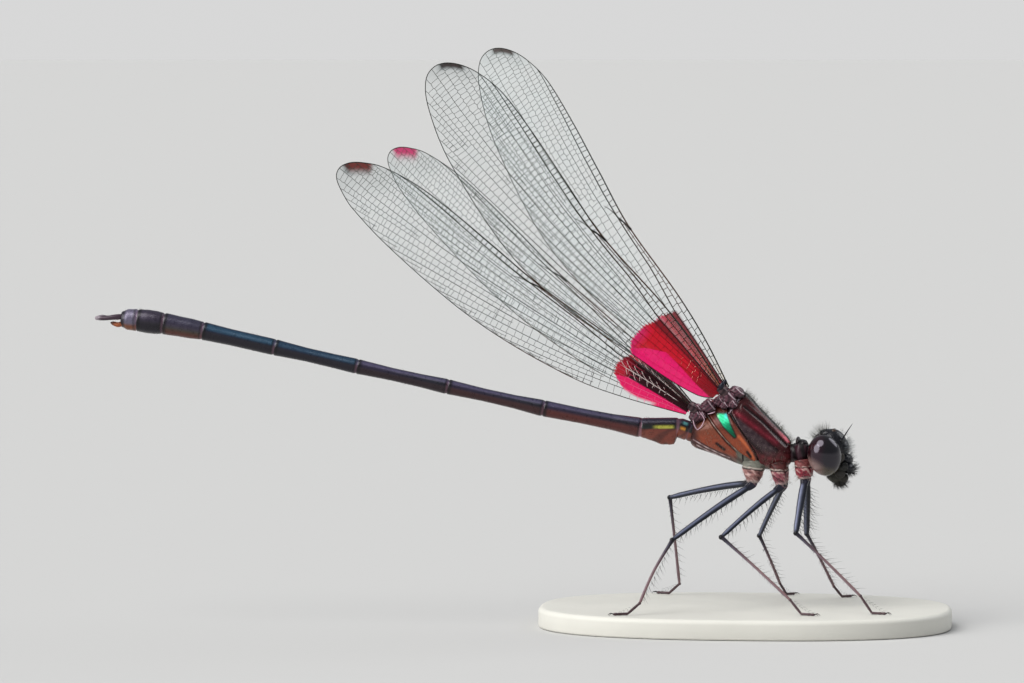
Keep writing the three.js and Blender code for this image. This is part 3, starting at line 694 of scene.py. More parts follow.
# Place along the body, underside, top and half width
chest_stations = [
    (CHEST_REAR, 10.9, 12.35, 0.62), (-2.8, 10.72, 13.1, 0.98), (-2.1, 10.5, 13.6, 1.26),
    (-1.3, 10.2, 14.0, 1.46), (-0.5, 9.88, 14.3, 1.56), (-0.05, 9.74, 14.15, 1.6), (1.0, 9.55, 13.1, 1.58),
    (1.8, 9.52, 12.28, 1.4), (2.4, 9.62, 11.66, 1.12), (CHEST_FRONT, 9.85, 11.22, 0.8),
]
# Lines on the flank as (x, z)
seam_front = [
    (-1.15, 13.45), (-0.85, 12.98), (-0.365, 12.17), (0.232, 11.3), (0.67, 10.55), (0.8, 10.2), (0.95, 9.5),
]
seam_rear = [(-2.35, 12.95), (-1.78, 12.17), (-1.07, 11.3), (-0.31, 10.56), (0.39, 10.11), (0.8, 9.6)]
shoulder_groove = [(0.0, 13.35), (1.1, 12.45), (2.5, 11.05)]
CHEST_SHADE = 0.86  # share of the painted colours' brightness that the chest keeps


def line_x(points, z):
    """Where a line on the flank is at height z."""
    p = np.array(points)[::-1]
    return np.interp(z, p[:, 1], p[:, 0])


def band(colour, x, z, points, tone, wide, narrow, amount=1.0):
    """Paints along a broken line, from nothing at the wide distance to all at the narrow one."""
    d, _ = near_line(x, z, points)
    return mix(colour, tone, amount * smooth(d, wide, narrow))


def front_paint(x, z, rise):
    """Maroon bands of the front plate, with a violet oval and fine mottling."""
    mottle = 0.5 + 0.5 * np.sin(x * 9 + z * 4) * np.sin(z * 11 - x * 5)
    oval = [(-0.2, 12.45), (1.6, 10.65)]
    colour = mix(lin(58, 20, 24), lin(86, 36, 38), 0.5 * mottle)
    colour = band(colour, x, z, oval, lin(26, 15, 18), 0.52, 0.4, 0.85)
    colour = band(colour, x, z, oval, mix(lin(78, 62, 66), lin(54, 38, 44), mottle), 0.42, 0.18)
    d, _ = near_line(x, z, [(-0.45, 13.0), (0.7, 12.15), (1.95, 11.2)])
    wine = mix(lin(82, 20, 30), lin(128, 34, 50), smooth(d, 0.16, 0.0) * (0.4 + 0.6 * mottle))
    colour = mix(colour, wine, smooth(d, 0.3, 0.12))
    colour = band(colour, x, z, shoulder_groove, lin(26, 9, 13), 0.12, 0.03, 0.9)
    d, t = near_line(x, z, [(0.5, 13.62), (1.6, 12.42), (2.66, 11.3)])
    rose = mix(lin(92, 24, 36), lin(212, 62, 88), smooth(t, 0.62, 0.97))
    colour = mix(colour, rose, smooth(d, 0.22, 0.08))
    colour = mix(colour, lin(12, 9, 11), smooth(rise, 0.9, 0.97))
    return mix(colour, mix(lin(78, 32, 32), lin(116, 46, 52), mottle), smooth(z, 10.9, 10.1))


def flank_paint(x, z):
    """Rust of the middle and rear plates, with a dark mark on each."""
    middle = mix(lin(150, 72, 46), lin(98, 44, 34), smooth(z, 10.9, 12.6))
    middle = band(middle, x, z, [(-0.3, 11.6), (0.35, 10.9), (0.62, 10.3)], lin(190, 98, 60), 0.16, 0.03)
    middle = band(middle, x, z, [(0.2, 10.66), (0.4, 10.38)], lin(34, 16, 16), 0.13, 0.03)
    rear = mix(lin(146, 70, 48), lin(112, 62, 44), smooth(z, 11.2, 12.3))
    rear = band(rear, x, z, [(-1.66, 11.14), (-1.2, 10.78)], lin(34, 14, 16), 0.15, 0.03)
    rear = mix(rear, lin(60, 30, 28), smooth(x, -2.6, -3.1))
    return mix(middle, rear, smooth(line_x(seam_rear, z) - x, -0.02, 0.04))


def jewel_paint(colour, x, z):
    """The metallic green wedge below the forewing, and how far each place lies inside it."""
    d, t = near_line(x, z, [(-1.37, 12.9), (-1.05, 12.3), (-0.56, 11.6)])
    past = d - np.interp(t, [0, 0.5, 1], [0.29, 0.21, 0.06])
    inside = smooth(past, 0.03, -0.03) * smooth(z, 13.0, 12.86)
    colour = mix(colour, lin(8, 14, 14), smooth(past, 0.14, 0.02) * smooth(z, 13.1, 12.95))
    green = mix(lin(22, 168, 118), lin(8, 100, 72), smooth(t, 0.3, 1.0))
    green = mix(green, lin(60, 196, 214), smooth(x, -1.3, -1.0) * smooth(t, 0.4, 0.0))
    green = mix(green, lin(150, 214, 156), smooth(x, -1.45, -1.7))
    green = green * (0.86 + 0.14 * np.sin(34 * z + 20 * x))[..., None]
    return mix(colour, green, inside), inside


def seam_paint(colour, x, z):
    """Dark and pale lines along the seams, one of the pale lines being a painted sheen just behind the front
    seam.
    """
    colour = band(colour, x, z, seam_front, lin(20, 9, 10), 0.11, 0.05)
    # Painted sheen: a pinkish line just behind the front seam, on its lower part
    sheen_distance = np.abs(x - line_x(seam_front, z) + 0.07)
    colour = mix(colour, lin(150, 92, 82), smooth(sheen_distance, 0.05, 0.01) * smooth(z, 12.7, 12.0))
    d, t = near_line(x, z, seam_rear)
    colour = mix(colour, lin(60, 26, 22), smooth(d, 0.12, 0.06))
    broken = 0.6 + 0.4 * np.sin(t * 37) * np.sin(t * 13 + 1)
    colour = mix(colour, lin(196, 172, 158), smooth(d, 0.04 + 0.05 * smooth(t, 0.55, 0.85), 0.015) * broken)
    collar = [(-0.95, 13.0), (-0.6, 13.35), (-0.4, 13.75), (-0.1, 14.0)]
    colour = band(colour, x, z, collar, lin(16, 8, 10), 0.13, 0.07)
    return band(colour, x, z, collar, lin(230, 208, 222), 0.05, 0.02)


def underside_paint(colour, x, y, z, under):
    """Greyish underside, pale folds behind the hind legs and a grey plate above them."""
    belly = mix(lin(120, 88, 82), lin(66, 40, 40), smooth(np.sin(x * 9 + 6 * y * y), -0.2, 0.6))
    colour = mix(colour, belly, under)
    behind_legs = smooth(x, -0.7, -1.0)
    first, _ = near_line(x, z, [(-3.1, 11.33), (-2.3, 10.88), (-1.5, 10.5), (-0.9, 10.26)])
    second, _ = near_line(x, z, [(-2.9, 11.0), (-2.2, 10.64), (-1.5, 10.34)])
    fold = np.minimum(first, second)
    colour = mix(colour, lin(74, 40, 40), behind_legs * smooth(fold, 0.16, 0.09))
    wavering = 0.65 + 0.35 * np.sin(x * 13)
    colour = mix(colour, lin(206, 180, 182), behind_legs * smooth(fold, 0.05, 0.02) * wavering)
    edge = np.interp(x, [-0.46, 0.33, 1.3, 1.8], [10.8, 10.13, 9.66, 9.4])
    plate = smooth(edge - z, 0.02, 0.07) * smooth(x, -0.6, -0.35) * smooth(x, 1.5, 1.3)
    grey = mix(lin(114, 114, 104), lin(84, 70, 66), smooth(np.sin(x * 7 + z * 9), -0.3, 0.7))
    colour = mix(colour, grey, plate)
    return mix(colour, lin(22, 16, 16), smooth(np.abs(x + 0.08), 0.07, 0.03) * plate)


def chest_paint(x, y, z, rise):
    ahead = smooth(x - line_x(seam_front, z), -0.02, 0.04)
    under = smooth(rise, -0.72, -0.9)
    colour = mix(flank_paint(x, z), front_paint(x, z, rise), ahead)
    colour, jewel = jewel_paint(colour, x, z)
    colour = seam_paint(colour, x, z)
    colour = underside_paint(colour, x, y, z, under) * CHEST_SHADE
    rough = 0.34 - 0.08 * ahead + 0.1 * under
    return colour, np.stack([rough, 0.15 + 0.45 * jewel, 1 + 0 * x], -1)


def rounded(distance, reach):
    """Rises from 0 to 1 over the reach like a quarter of a circle."""
    return np.sqrt(np.clip(1 - (1 - np.clip(distance / reach, 0, 1)) ** 2, 0, 1))


def chest_skin(bag):
    n, m = 320, 260
    t = np.linspace(CHEST_REAR, CHEST_FRONT, n)
    low, high, half = np.moveaxis(table(chest_stations, t), -1, 0)
    inset = 0.72 + 0.28 * np.minimum(rounded(t - CHEST_REAR, 0.35), rounded(CHEST_FRONT - t, 0.3))
    a = np.arange(m) / m * 2 * np.pi + np.pi / 2
    rise, run = np.sin(a), np.cos(a)
    wide = np.sign(run) * np.abs(run) ** 0.8 * (1 - 0.45 * smooth(rise, -0.1, 1))
    x = np.broadcast_to(t[:, None], (n, m))
    y = (half * inset)[:, None] * wide[None]
    z = ((low + high) / 2)[:, None] + ((high - low) / 2 * inset)[:, None] * rise[None]
    rise = np.broadcast_to(rise[None], (n, m))
    swell = 0.06 * np.exp(-((y / 0.06) ** 2)) * (rise > 0.5) * smooth(x, -0.2, 0.2)
    collar = [(-0.95, 13.0), (-0.4, 13.75), (-0.1, 14.0)]
    for seam, depth in ((seam_front, 0.09), (seam_rear, 0.08), (shoulder_groove, 0.06), (collar, 0.07)):
        d, _ = near_line(x, z, seam)
        swell -= depth * np.exp(-((d / 0.06) ** 2))
        swell += 0.45 * depth * np.exp(-(((d - 0.16) / 0.09) ** 2))
    out = unit(np.stack([0 * y, np.sign(y) * np.abs(run)[None], rise], -1))
    colour, finish = chest_paint(x, y, z, rise)
    bag.grid(np.stack([x, y, z], -1) + out * swell[..., None], colour, finish)


# Plates at the wing roots: centre, half sizes and turn
root_plates = [
    ((-0.5, 0.5, 14.15), (0.5, 0.36, 0.32), 0.5), ((-1.0, 0.84, 13.86), (0.52, 0.34, 0.4), 0.3),
    ((-0.72, 0.98, 13.48), (0.3, 0.22, 0.27), 0.9), ((-1.55, 0.8, 13.62), (0.36, 0.32, 0.3), 0.2),
    ((-2.2, 0.84, 13.3), (0.46, 0.34, 0.42), 0.5), ((-2.95, 0.72, 12.74), (0.42, 0.35, 0.43), -0.4),
    ((-2.56, 0.9, 12.76), (0.24, 0.22, 0.28), 0.1), ((-2.85, 0.6, 13.1), (0.36, 0.32, 0.3), 0.6),
    ((-1.22, 1.04, 13.42), (0.26, 0.2, 0.24), -0.3),
]
root_ridges = [
    [(-3.12, 1.0, 12.66), (-3.02, 1.06, 12.24), (-2.85, 1.04, 11.94)],
    [(-2.85, 1.04, 11.94), (-2.58, 1.14, 12.17), (-2.4, 1.2, 12.58)],
    [(-2.72, 1.08, 13.05), (-2.5, 1.16, 12.8), (-2.4, 1.2, 12.58)],
    [(-1.75, 1.14, 13.06), (-1.95, 1.2, 12.98), (-2.2, 1.18, 12.92)],
]
# Stalks that carry the wings: their lines and thickness
wing_stalks = [
    ([(-1.1, 0.8, 14.0), (-1.3, 1.05, 14.25), (-1.62, 1.25, 14.5)], 0.24),
    ([(-2.9, 0.7, 12.95), (-3.1, 0.92, 13.2), (-3.42, 1.08, 13.4)], 0.22),
]


def to_side(points, side):
    """Points of the left side, or mirrored for the right one, which is -1."""
    return np.array(points, float) * (1, side, 1)


def root_plate(bag, centre, radii, turn, side):
    """A rounded plate with fine ribs, a pale rim and painted shade towards its underside."""
    middle = to_side(centre, side)
    p = ball(middle, radii, 48, 32, turn)
    q = (p - middle) / np.array(radii)
    x, y, z = np.moveaxis(q, -1, 0)
    rib = np.abs(np.sin(4.6 * x - 2.4 * z + 1.4 * np.sin(2.2 * z + centre[0] * 7)))
    colour = mix(lin(72, 46, 56), lin(98, 60, 72), smooth(rib, 0.6, 1))
    colour = mix(colour, lin(34, 18, 24), 0.65 * smooth(rib, 0.3, 0.08))
    # Painted shade: each plate darkens towards its underside, into the gaps between the plates
    colour = mix(colour, lin(24, 12, 17), 0.8 * smooth(z, -0.2, -0.75))
    rim = smooth(np.abs(x * 0.8 + z * 0.6 - 0.55), 0.09, 0.03) * smooth(np.abs(y), 0.25, 0.5)
    colour = mix(colour, lin(214, 194, 202), rim * 0.75)
    height = 0.016 * smooth(rib, 0.1, 0.6) + 0.02 * np.sin(9 * z + 4 * x)
    bag.grid(p + unit(q) * height[..., None], colour, (0.24, 0.05, 1))


def neck(bag):
    """The neck and its shield."""
    n = 40
    path = np.stack([np.linspace(2.55, 4.6, n), np.zeros(n), np.linspace(10.5, 10.56, n)], -1)
    x = path[:, 0]
    places = [2.55, 3.0, 3.06, 3.25, 3.5, 3.72, 3.86, 4.0, 4.6]
    radius = np.interp(x, places, [0.6, 0.62, 0.66, 0.88, 0.86, 0.78, 0.5, 0.4, 0.42])
    ring = tube(path, radius, radius * 0.92, 48)
    q = ring - path[:, None]
    fold = 0.05 * np.sin(q[..., 1] * 7) * (np.abs(x - 3.4) < 0.45)[:, None]
    ring = ring + unit(q) * fold[..., None]
    cloudy = smooth(np.sin(ring[..., 0] * 11 + q[..., 2] * 3), -0.3, 0.6)
    colour = mix(lin(52, 26, 36), lin(20, 10, 14), cloudy)
    colour = mix(colour, lin(24, 20, 22), smooth(ring[..., 2], 10.9, 11.2))
    colour = mix(colour, lin(150, 84, 82), smooth(ring[..., 2], 10.05, 9.8))
    bag.grid(ring, colour, (0.4, 0.1, 1))
    for centre, radii in (
        ((3.2, 0, 11.22), (0.16, 0.62, 0.3)), ((3.52, 0.32, 11.1), (0.22, 0.32, 0.22)),
        ((3.52, -0.32, 11.1), (0.22, 0.32, 0.22)), ((3.72, 0, 10.95), (0.14, 0.5, 0.16)),
    ):
        bag.grid(ball(centre, radii, 28, 18), lin(26, 20, 24), (0.35, 0.1, 1))


def make_chest():
    bag = Bag()
    chest_skin(bag)
    for side in (-1, 1):
        for centre, radii, turn in root_plates:
            root_plate(bag, centre, radii, turn, side)
        s = np.linspace(0, 1, 16)
        for line in root_ridges:
            ridge = tube(spline(to_side(line, side), s), 0.036 * np.sin(np.pi * (0.15 + 0.7 * s)), None, 10)
            bag.grid(ridge, lin(190, 158, 172), (0.35, 0, 1))
        s = np.linspace(0, 1, 14)
        for line, fat in wing_stalks:
            rings = tube(spline(to_side(line, side), s), fat * (1.2 - 0.6 * s), fat * (1.3 - 0.5 * s), 16)
            colour = mix(lin(44, 28, 34), lin(84, 62, 66), (np.sin(s * 19) > 0.3)[:, None])
            bag.grid(rings, colour, (0.35, 0.1, 1))
        # Dark knob at the front edge of the forewing's root
        knob = ball((-1.38, 1.3 * side, 14.62), (0.16, 0.14, 0.26), 18, 12, 0.5)
        bag.grid(knob, lin(24, 26, 40), (0.25, 0.2, 1))
    neck(bag)
    bag.make("chest", neck_shell, ["thorax", "prothorax"])


# Abdomen

# Each joint's place along the body, height and half thickness
tail_joints = np.array([
    (-3.42, 11.8, 0.6), (-4.05, 12.02, 0.6), (-6.3, 11.98, 0.6), (-12.26, 13.12, 0.5), (-18.12, 14.4, 0.46),
    (-23.67, 15.6, 0.46), (-28.74, 16.74, 0.5), (-33.17, 17.72, 0.56), (-35.61, 18.16, 0.66),
    (-37.23, 18.36, 0.68), (-38.2, 18.42, 0.48),
])
tail_waist = [0.6, 0.6, 0.46, 0.39, 0.39, 0.42, 0.5, 0.62, 0.72, 0.64]
# By segment, the first being 0: colour of the underside, where the back's colour begins, strength of its
# painted teal sheen
slate = lin(30, 27, 36)
tail_below = [
    lin(116, 58, 44), lin(118, 58, 46), lin(84, 40, 38), lin(58, 34, 36), lin(42, 30, 36),
    slate, slate, lin(86, 44, 36), slate, lin(120, 72, 48),
]
back_begins = {7: (-0.75, -0.15), 9: (-0.62, -0.25)}
back_teal_sheen = {5: 0.4, 6: 0.6}


def back_paint(k, along, rise):
    """Colour of the upper side of segment k, with painted lavender, teal and blue sheen towards the top."""
    dark = mix(lin(24, 26, 36), lin(44, 38, 58), smooth(along, 0, 1) * (0.4 if k > 4 else 0.9))
    if k < 5:
        # Painted sheen: a lavender band along the upper side
        return mix(dark, lin(104, 98, 132), 0.4 * smooth(rise, 0.35, 0.7) * smooth(rise, 1.0, 0.85))
    # Painted sheen: teal and blue on the upper side of the later segments
    dark = mix(dark, lin(44, 92, 114), back_teal_sheen.get(k, 0) * smooth(rise, 0.1, 0.5) * smooth(rise, 1.0, 0.8))
    dark = mix(dark, lin(28, 50, 78), 0.5 * smooth(rise, -0.1, 0.6) * (k < 8))
    if k >= 7:
        dark = mix(dark, lin(66, 58, 74), 0.6)
        dark = mix(dark, lin(70, 70, 44), smooth(rise, 0.1, -0.5) * 0.6)
    if k == 9:
        dark = mix(dark, lin(112, 106, 128), 0.7)
    return dark


def rusty_paint(k, along, rise):
    """Colour of the first two segments, with their gold marks, a painted violet sheen on top, a painted cyan
    highlight on the first, and their share of metal.
    """
    colour = mix(tail_below[k], lin(70, 34, 30), 0.7 * smooth(np.sin(along * 8 + rise * 5 + 1), 0.1, 1))
    if k == 1:
        colour = mix(colour, lin(58, 34, 26), smooth(rise, -0.8, -1.0) * smooth(np.sin(along * 23), 0.2, 0.9))
    # Painted sheen: the dark back turns violet towards the top
    back = mix(lin(30, 36, 34), lin(44, 40, 58), smooth(rise, 0.3, 0.7))
    colour = mix(colour, back, smooth(rise, -0.14, 0.0))
    if k == 1:
        gold, tone = smooth(along, 0.06, 0.18) * smooth(along, 0.72, 0.5), lin(206, 204, 88)
    else:
        gold, tone = smooth(along, 0.25, 0.4) * smooth(along, 0.85, 0.7), lin(224, 150, 60)
    gold = gold * smooth(rise, -0.06, 0.04) * smooth(rise, 0.32, 0.24)
    colour = mix(colour, tone, gold * 0.9)
    # Painted highlight: a cyan-white glint on the back of the first segment
    if k == 0:
        glint = smooth(rise, 0.5, 0.6) * smooth(rise, 0.85, 0.75) * smooth(np.abs(along - 0.5), 0.3, 0.15)
        colour = mix(colour, lin(110, 190, 190), glint * 0.7)
    return colour, 0.25 + 0.35 * gold - 0.2 * smooth(rise, 0.0, -0.3)


def segment(k, m):
    """Rings, colours and finishes of segment k, with m points round each ring."""
    (x0, z0, r0), (x1, z1, r1) = tail_joints[k], tail_joints[k + 1]
    length = math.hypot(x1 - x0, z1 - z0)
    n = max(12, int(length / 0.07))
    # The first segment begins inside the chest, and only the last one closes its own end
    t = np.linspace(-0.5 if k == 0 else 0, 1, n, endpoint=k == 9)
    d = t * length
    waist = tail_waist[k]
    c = min(0.45, length * 0.18) / length
    radii = [r0 * 0.97, r0, r0 + (waist - r0) * 0.8, waist, waist + (r1 - waist) * 0.7, r1, r1 * 0.99]
    r = np.interp(t, [0, c * 0.5, 0.3, 0.62, 1 - c, 0.985, 1], radii)
    r = r * (1 - 0.09 * np.exp(-((d / 0.05) ** 2)) - 0.05 * np.exp(-(((length - d) / 0.04) ** 2)))
    path = np.stack([x0 + (x1 - x0) * t, 0 * t, z0 + (z1 - z0) * t], -1)
    rings = tube(path, r, r, m)
    # The path runs to the rear, so its rings begin below
    rise = np.broadcast_to(-np.sin(np.arange(m) / m * 2 * np.pi)[None], (n, m))
    along = np.broadcast_to(t[:, None], (n, m))
    past = np.broadcast_to(d[:, None], (n, m))
    if k == 1:
        bump = np.interp(along, [0.04, 0.12, 0.25, 0.4, 0.67, 0.9, 1], [0, 0.38, 0.5, 0.42, 0.26, 0.04, 0])
        bump = bump * (1 + 0.1 * np.sin(along * 15 + 0.6)) * smooth(rise, -0.45, -1.0)
        rings = rings - vec(0, 0, 1) * bump[..., None]
    if k < 2:
        colour, metal = rusty_paint(k, along, rise)
    else:
        top = smooth(rise, *back_begins.get(k, (-0.2, 0.35)))
        colour = mix(tail_below[k], back_paint(k, along, rise), top)
        metal = 0.25 + 0 * along
        colour = mix(colour, lin(12, 11, 14), smooth(past, length - 0.34, length - 0.16) * 0.85)
    # Pale ring at each joint, with a dark one behind it
    pale, strength = (lin(190, 140, 156), 0.8) if k in (1, 2) else (lin(138, 98, 116), 0.55)
    colour = mix(colour, pale, strength * np.exp(-(((past - 0.03) / 0.04) ** 2)) * smooth(rise, 1.5, 0.3))
    if k > 1:
        colour = mix(colour, lin(14, 12, 16), np.exp(-(((past - 0.14) / 0.05) ** 2)) * 0.7)
    return rings, colour, np.stack([0.3 + 0 * along, metal, 1 + 0 * along], -1)


def claspers(bag, out):
    """The upper and lower clasper of one side, which is 1 for the left."""
    x, z = tail_joints[-1][:2]
    line = [
        (x + 0.1, 0.25 * out, z + 0.14), (x - 0.4, 0.42 * out, z + 0.12), (x - 0.95, 0.46 * out, z + 0.06),
        (x - 1.3, 0.34 * out, z + 0.08), (x - 1.6, 0.16 * out, z + 0.05),
    ]
    s = np.linspace(0, 1, 40)
    radius = np.interp(s, [0, 0.15, 0.5, 0.75, 0.93, 1], [0.15, 0.18, 0.14, 0.18, 0.13, 0.04])
    colour = mix(lin(62, 46, 58), lin(150, 140, 148), smooth(s, 0.6, 0.85)[:, None])
    bag.grid(tube(spline(line, s), radius, radius * 0.9, 20), colour, (0.35, 0.15, 1))
    for k in range(5):
        foot = spline(line, np.array([0.3 + 0.12 * k]))[0]
        tooth = [foot, foot + vec(-0.03, -0.16 * out, -0.03), foot + vec(-0.05, -0.24 * out, -0.04)]
        bag.grid(tube(tooth, [0.05, 0.035, 0.01], None, 8), lin(40, 28, 34), (0.4, 0, 1))
    line = [(x + 0.1, 0.2 * out, z - 0.26), (x - 0.25, 0.26 * out, z - 0.34), (x - 0.66, 0.2 * out, z - 0.2)]
    s = np.linspace(0, 1, 20)
    radius = np.interp(s, [0, 0.4, 0.85, 1], [0.16, 0.15, 0.09, 0.03])
    colour = mix(lin(150, 80, 44), lin(60, 34, 30), smooth(s, 0.5, 1)[:, None])
    bag.grid(tube(spline(line, s), radius, None, 16), colour, (0.4, 0.05, 1))


def make_tail():
    bag = Bag()
    rings, colours, finishes = zip(*(segment(k, 64) for k in range(10)))
    bag.grid(np.vstack(rings), np.vstack(colours), np.vstack(finishes))
    for out in (-1, 1):
        claspers(bag, out)
    covered = ["abdomen_%d" % k for k in range(1, 11)]
    covered += [part + side for part in ("cercus_", "paraproct_") for side in ("left", "right")]
    bag.make("abdomen", tail_shell, covered)
    fuzz = Bag()
    roots, ways = [], []
    for k in range(1, 10):
        (x0, z0, r0), (x1, z1, r1) = tail_joints[k], tail_joints[k + 1]
        r = 0.97 * min(r0, r1, tail_waist[k])
        for _ in range(40 if k > 2 else 70):
            f, b = rng.uniform(0.05, 0.95), rng.uniform(0, 2 * np.pi)
            out = vec(0, math.cos(b), math.sin(b))
            roots.append(vec(x0 + (x1 - x0) * f, 0, z0 + (z1 - z0) * f) + out * r)
            ways.append(out * 0.6 + vec(-0.9, 0, 0.2))
    hairs(fuzz, roots, ways, rng.uniform(0.1, 0.26, len(roots)), 0.009, lin(60, 52, 54))
    fuzz.make("abdomen_hair", hair_shell, bake_map=True)


# Head

black = lin(20, 20, 26)
EYE_PLACE, EYE_SIZE, EYE_TURN = vec(4.86, 1.5, 10.5), vec(1.02, 1.01, 1.25), -0.22
# Rounded forms in the middle of the head: centre, half sizes, turn, grid, colour and finish
head_forms = [
    ((5.14, 0, 10.6), (1.06, 1.12, 1.42), 0.2, (80, 60), black, (0.24, 0.15, 1)),
    ((4.45, 0, 10.62), (0.3, 0.72, 0.62), 0.0, (48, 32), black, (0.22, 0.15, 1)),
    ((5.86, 0, 10.8), (0.45, 0.8, 0.6), 0.1, (48, 32), black, (0.22, 0.15, 1)),
    ((6.05, 0, 10.22), (0.5, 0.74, 0.34), 0.35, (48, 32), lin(14, 16, 24), (0.22, 0.15, 1)),
    ((5.55, 0.5, 11.3), (0.4, 0.32, 0.4), 0.2, (48, 32), black, (0.22, 0.15, 1)),
    ((5.55, -0.5, 11.3), (0.4, 0.32, 0.4), 0.2, (48, 32), black, (0.22, 0.15, 1)),
    ((4.95, 0, 11.72), (0.5, 0.56, 0.28), 0.0, (48, 32), black, (0.22, 0.15, 1)),
    # Three small simple eyes
    ((5.72, 0, 11.62), (0.15, 0.15, 0.15), 0.0, (24, 16), lin(60, 44, 36), (0.12, 0, 1)),
    ((5.36, 0.32, 11.86), (0.15, 0.15, 0.15), 0.0, (24, 16), lin(60, 44, 36), (0.12, 0, 1)),
    ((5.36, -0.32, 11.86), (0.15, 0.15, 0.15), 0.0, (24, 16), lin(60, 44, 36), (0.12, 0, 1)),
]
# Jaws of one side, then the upper and lower lip in the middle
jaw_forms = [
    ((5.82, 0.86, 10.3), (0.22, 0.14, 0.3), 0.3, (24, 16), lin(50, 46, 42), (0.4, 0, 1)),
    ((5.95, 0.7, 9.78), (0.32, 0.2, 0.3), 0.2, (24, 16), lin(26, 26, 24), (0.3, 0, 1)),
    ((5.75, 0.62, 9.4), (0.34, 0.2, 0.36), -0.3, (24, 16), lin(34, 31, 26), (0.4, 0, 1)),
]
lip_forms = [
    ((6.2, 0, 9.66), (0.46, 0.66, 0.36), 0.5, (40, 28), lin(22, 23, 30), (0.26, 0.1, 1)),
    ((5.5, 0, 9.2), (0.68, 0.6, 0.5), 0.45, (48, 30), lin(30, 28, 20), (0.4, 0, 1)),
    ((5.72, 0, 8.86), (0.42, 0.4, 0.36), 0.3, (36, 24), lin(22, 20, 15), (0.4, 0, 1)),
    ((5.95, 0.3, 9.05), (0.3, 0.16, 0.26), 0.3, (24, 16), lin(36, 33, 26), (0.45, 0, 1)),
    ((5.95, -0.3, 9.05), (0.3, 0.16, 0.26), 0.3, (24, 16), lin(36, 33, 26), (0.45, 0, 1)),
]
# Bristles: how many, the form's centre and half sizes, the way they face, how far from it they may
# stand, length, half thickness, colour and turn
head_tufts = [
    (170, (4.75, 0, 11.2), (0.6, 0.75, 0.74), (-0.45, 0, 1), 0.45, 0.6, 0.006, lin(74, 74, 64), 0),
    (90, (5.3, 0, 10.6), (1.06, 1.12, 1.42), (0.8, 0, 0.5), 0.6, 0.24, 0.005, lin(70, 74, 80), 0.2),
    (150, (5.86, 0, 10.8), (0.45, 0.8, 0.6), (1, 0, 0.1), 0.3, 0.46, 0.006, lin(110, 116, 120), 0.1),
    (50, (6.05, 0, 10.22), (0.5, 0.74, 0.34), (1, 0, 0.2), 0.4, 0.36, 0.008, lin(30, 30, 34), 0.35),
    (120, (6.2, 0, 9.66), (0.46, 0.66, 0.36), (1, 0, -0.3), 0.2, 0.38, 0.014, lin(14, 14, 14), 0.5),
    (110, (5.72, 0, 8.86), (0.42, 0.4, 0.36), (0.6, 0, -1), 0.0, 0.34, 0.013, lin(16, 15, 13), 0.3),
    (80, (5.5, 0, 9.2), (0.68, 0.6, 0.5), (0, 0, -1), -0.1, 0.22, 0.01, lin(20, 18, 16), 0.45),
]
for out in (-1, 1):
    jaw, cheek = ((5.95, 0.7 * out, 9.78), (0.32, 0.2, 0.3)), ((5.75, 0.62 * out, 9.4), (0.34, 0.2, 0.36))
    head_tufts.append((34, *jaw, (0.5, 0.8 * out, 0), 0.1, 0.24, 0.009, lin(16, 15, 13), 0.2))
    head_tufts.append((34, *cheek, (0.3, 0.9 * out, -0.2), 0.1, 0.26, 0.009, lin(58, 54, 44), -0.3))


def add_forms(bag, forms, side=1):
    for centre, radii, turn, grid, colour, finish in forms:
        bag.grid(ball(to_side(centre, side), radii, *grid, turn), colour, finish)


def feeler(bag, out):
    """Two stout joints and a thread."""
    s = np.linspace(0, 1, 16)
    path = spline([(5.64, 0.5 * out, 11.02), (5.76, 0.6 * out, 11.2), (5.88, 0.74 * out, 11.4)], s)
    radius = np.interp(s, [0, 0.3, 0.5, 0.56, 0.9, 1], [0.14, 0.15, 0.11, 0.11, 0.1, 0.05])
    bag.grid(tube(path, radius, None, 16), black, (0.3, 0, 1))
    thread = [(5.87, 0.73 * out, 11.38), (6.1, 0.94 * out, 11.76), (6.42, 1.18 * out, 12.24)]
    path = spline(thread, np.linspace(0, 1, 24))
    bag.grid(tube(path, np.linspace(0.062, 0.012, 24), None, 10), black, (0.35, 0, 1))


def make_head():
    bag = Bag()
    add_forms(bag, head_forms)
    for out in (-1, 1):
        add_forms(bag, jaw_forms, out)
        feeler(bag, out)
    add_forms(bag, lip_forms)
    covered = ["head", "labrum", "labium", "antenna_left", "antenna_right"]
    bag.make("head_shell", face_shell, covered)


def make_eye(side, out):
    """Maroon black above, mauve below to the rear and olive below to the front."""
    bag = Bag()
    centre = EYE_PLACE * (1, out, 1)
    p = ball(centre, EYE_SIZE, 120, 90, EYE_TURN)
    x, _, z = np.moveaxis((p - centre) / EYE_SIZE, -1, 0)
    colour = mix(lin(30, 8, 14), lin(10, 8, 6), smooth(x, -0.4, 0.2))
    low = mix(lin(128, 104, 100), lin(50, 46, 24), smooth(x, -0.5, 0.3))
    colour = mix(colour, low, smooth(z + 0.42 * x + 0.4, 0.14, -0.34))
    colour = mix(colour, lin(54, 48, 22), 0.8 * smooth(z, -0.35, -0.85) * smooth(x, -0.3, 0.2))
    centre_spot = np.hypot((x - 0.4) / 0.55, (z + 0.05) / 0.62)
    colour = mix(colour, lin(6, 6, 3), smooth(centre_spot, 1.1, 0.5))
    bag.grid(p, colour, (0.12, 0.0, 1))
    bag.make("eye_" + side + "_globe", eye_shell, ["eye_" + side])


def tuft(bag, n, centre, radii, way, spread, length, radius, colour, turn):
    """Bristles on the part of a rounded form that faces a way."""
    way, radii = unit(way), np.array(radii)
    d = unit(rng.normal(size=(n * 6, 3)))
    d = d[(d @ way) > spread][:n]
    p = turned(d * radii, turn) + np.array(centre)
    ways = unit(d / radii) * 0.8 + way * 0.5 + rng.normal(size=d.shape) * 0.12
    hairs(bag, p, ways, rng.uniform(0.55, 1.1, len(p)) * length, radius, colour)


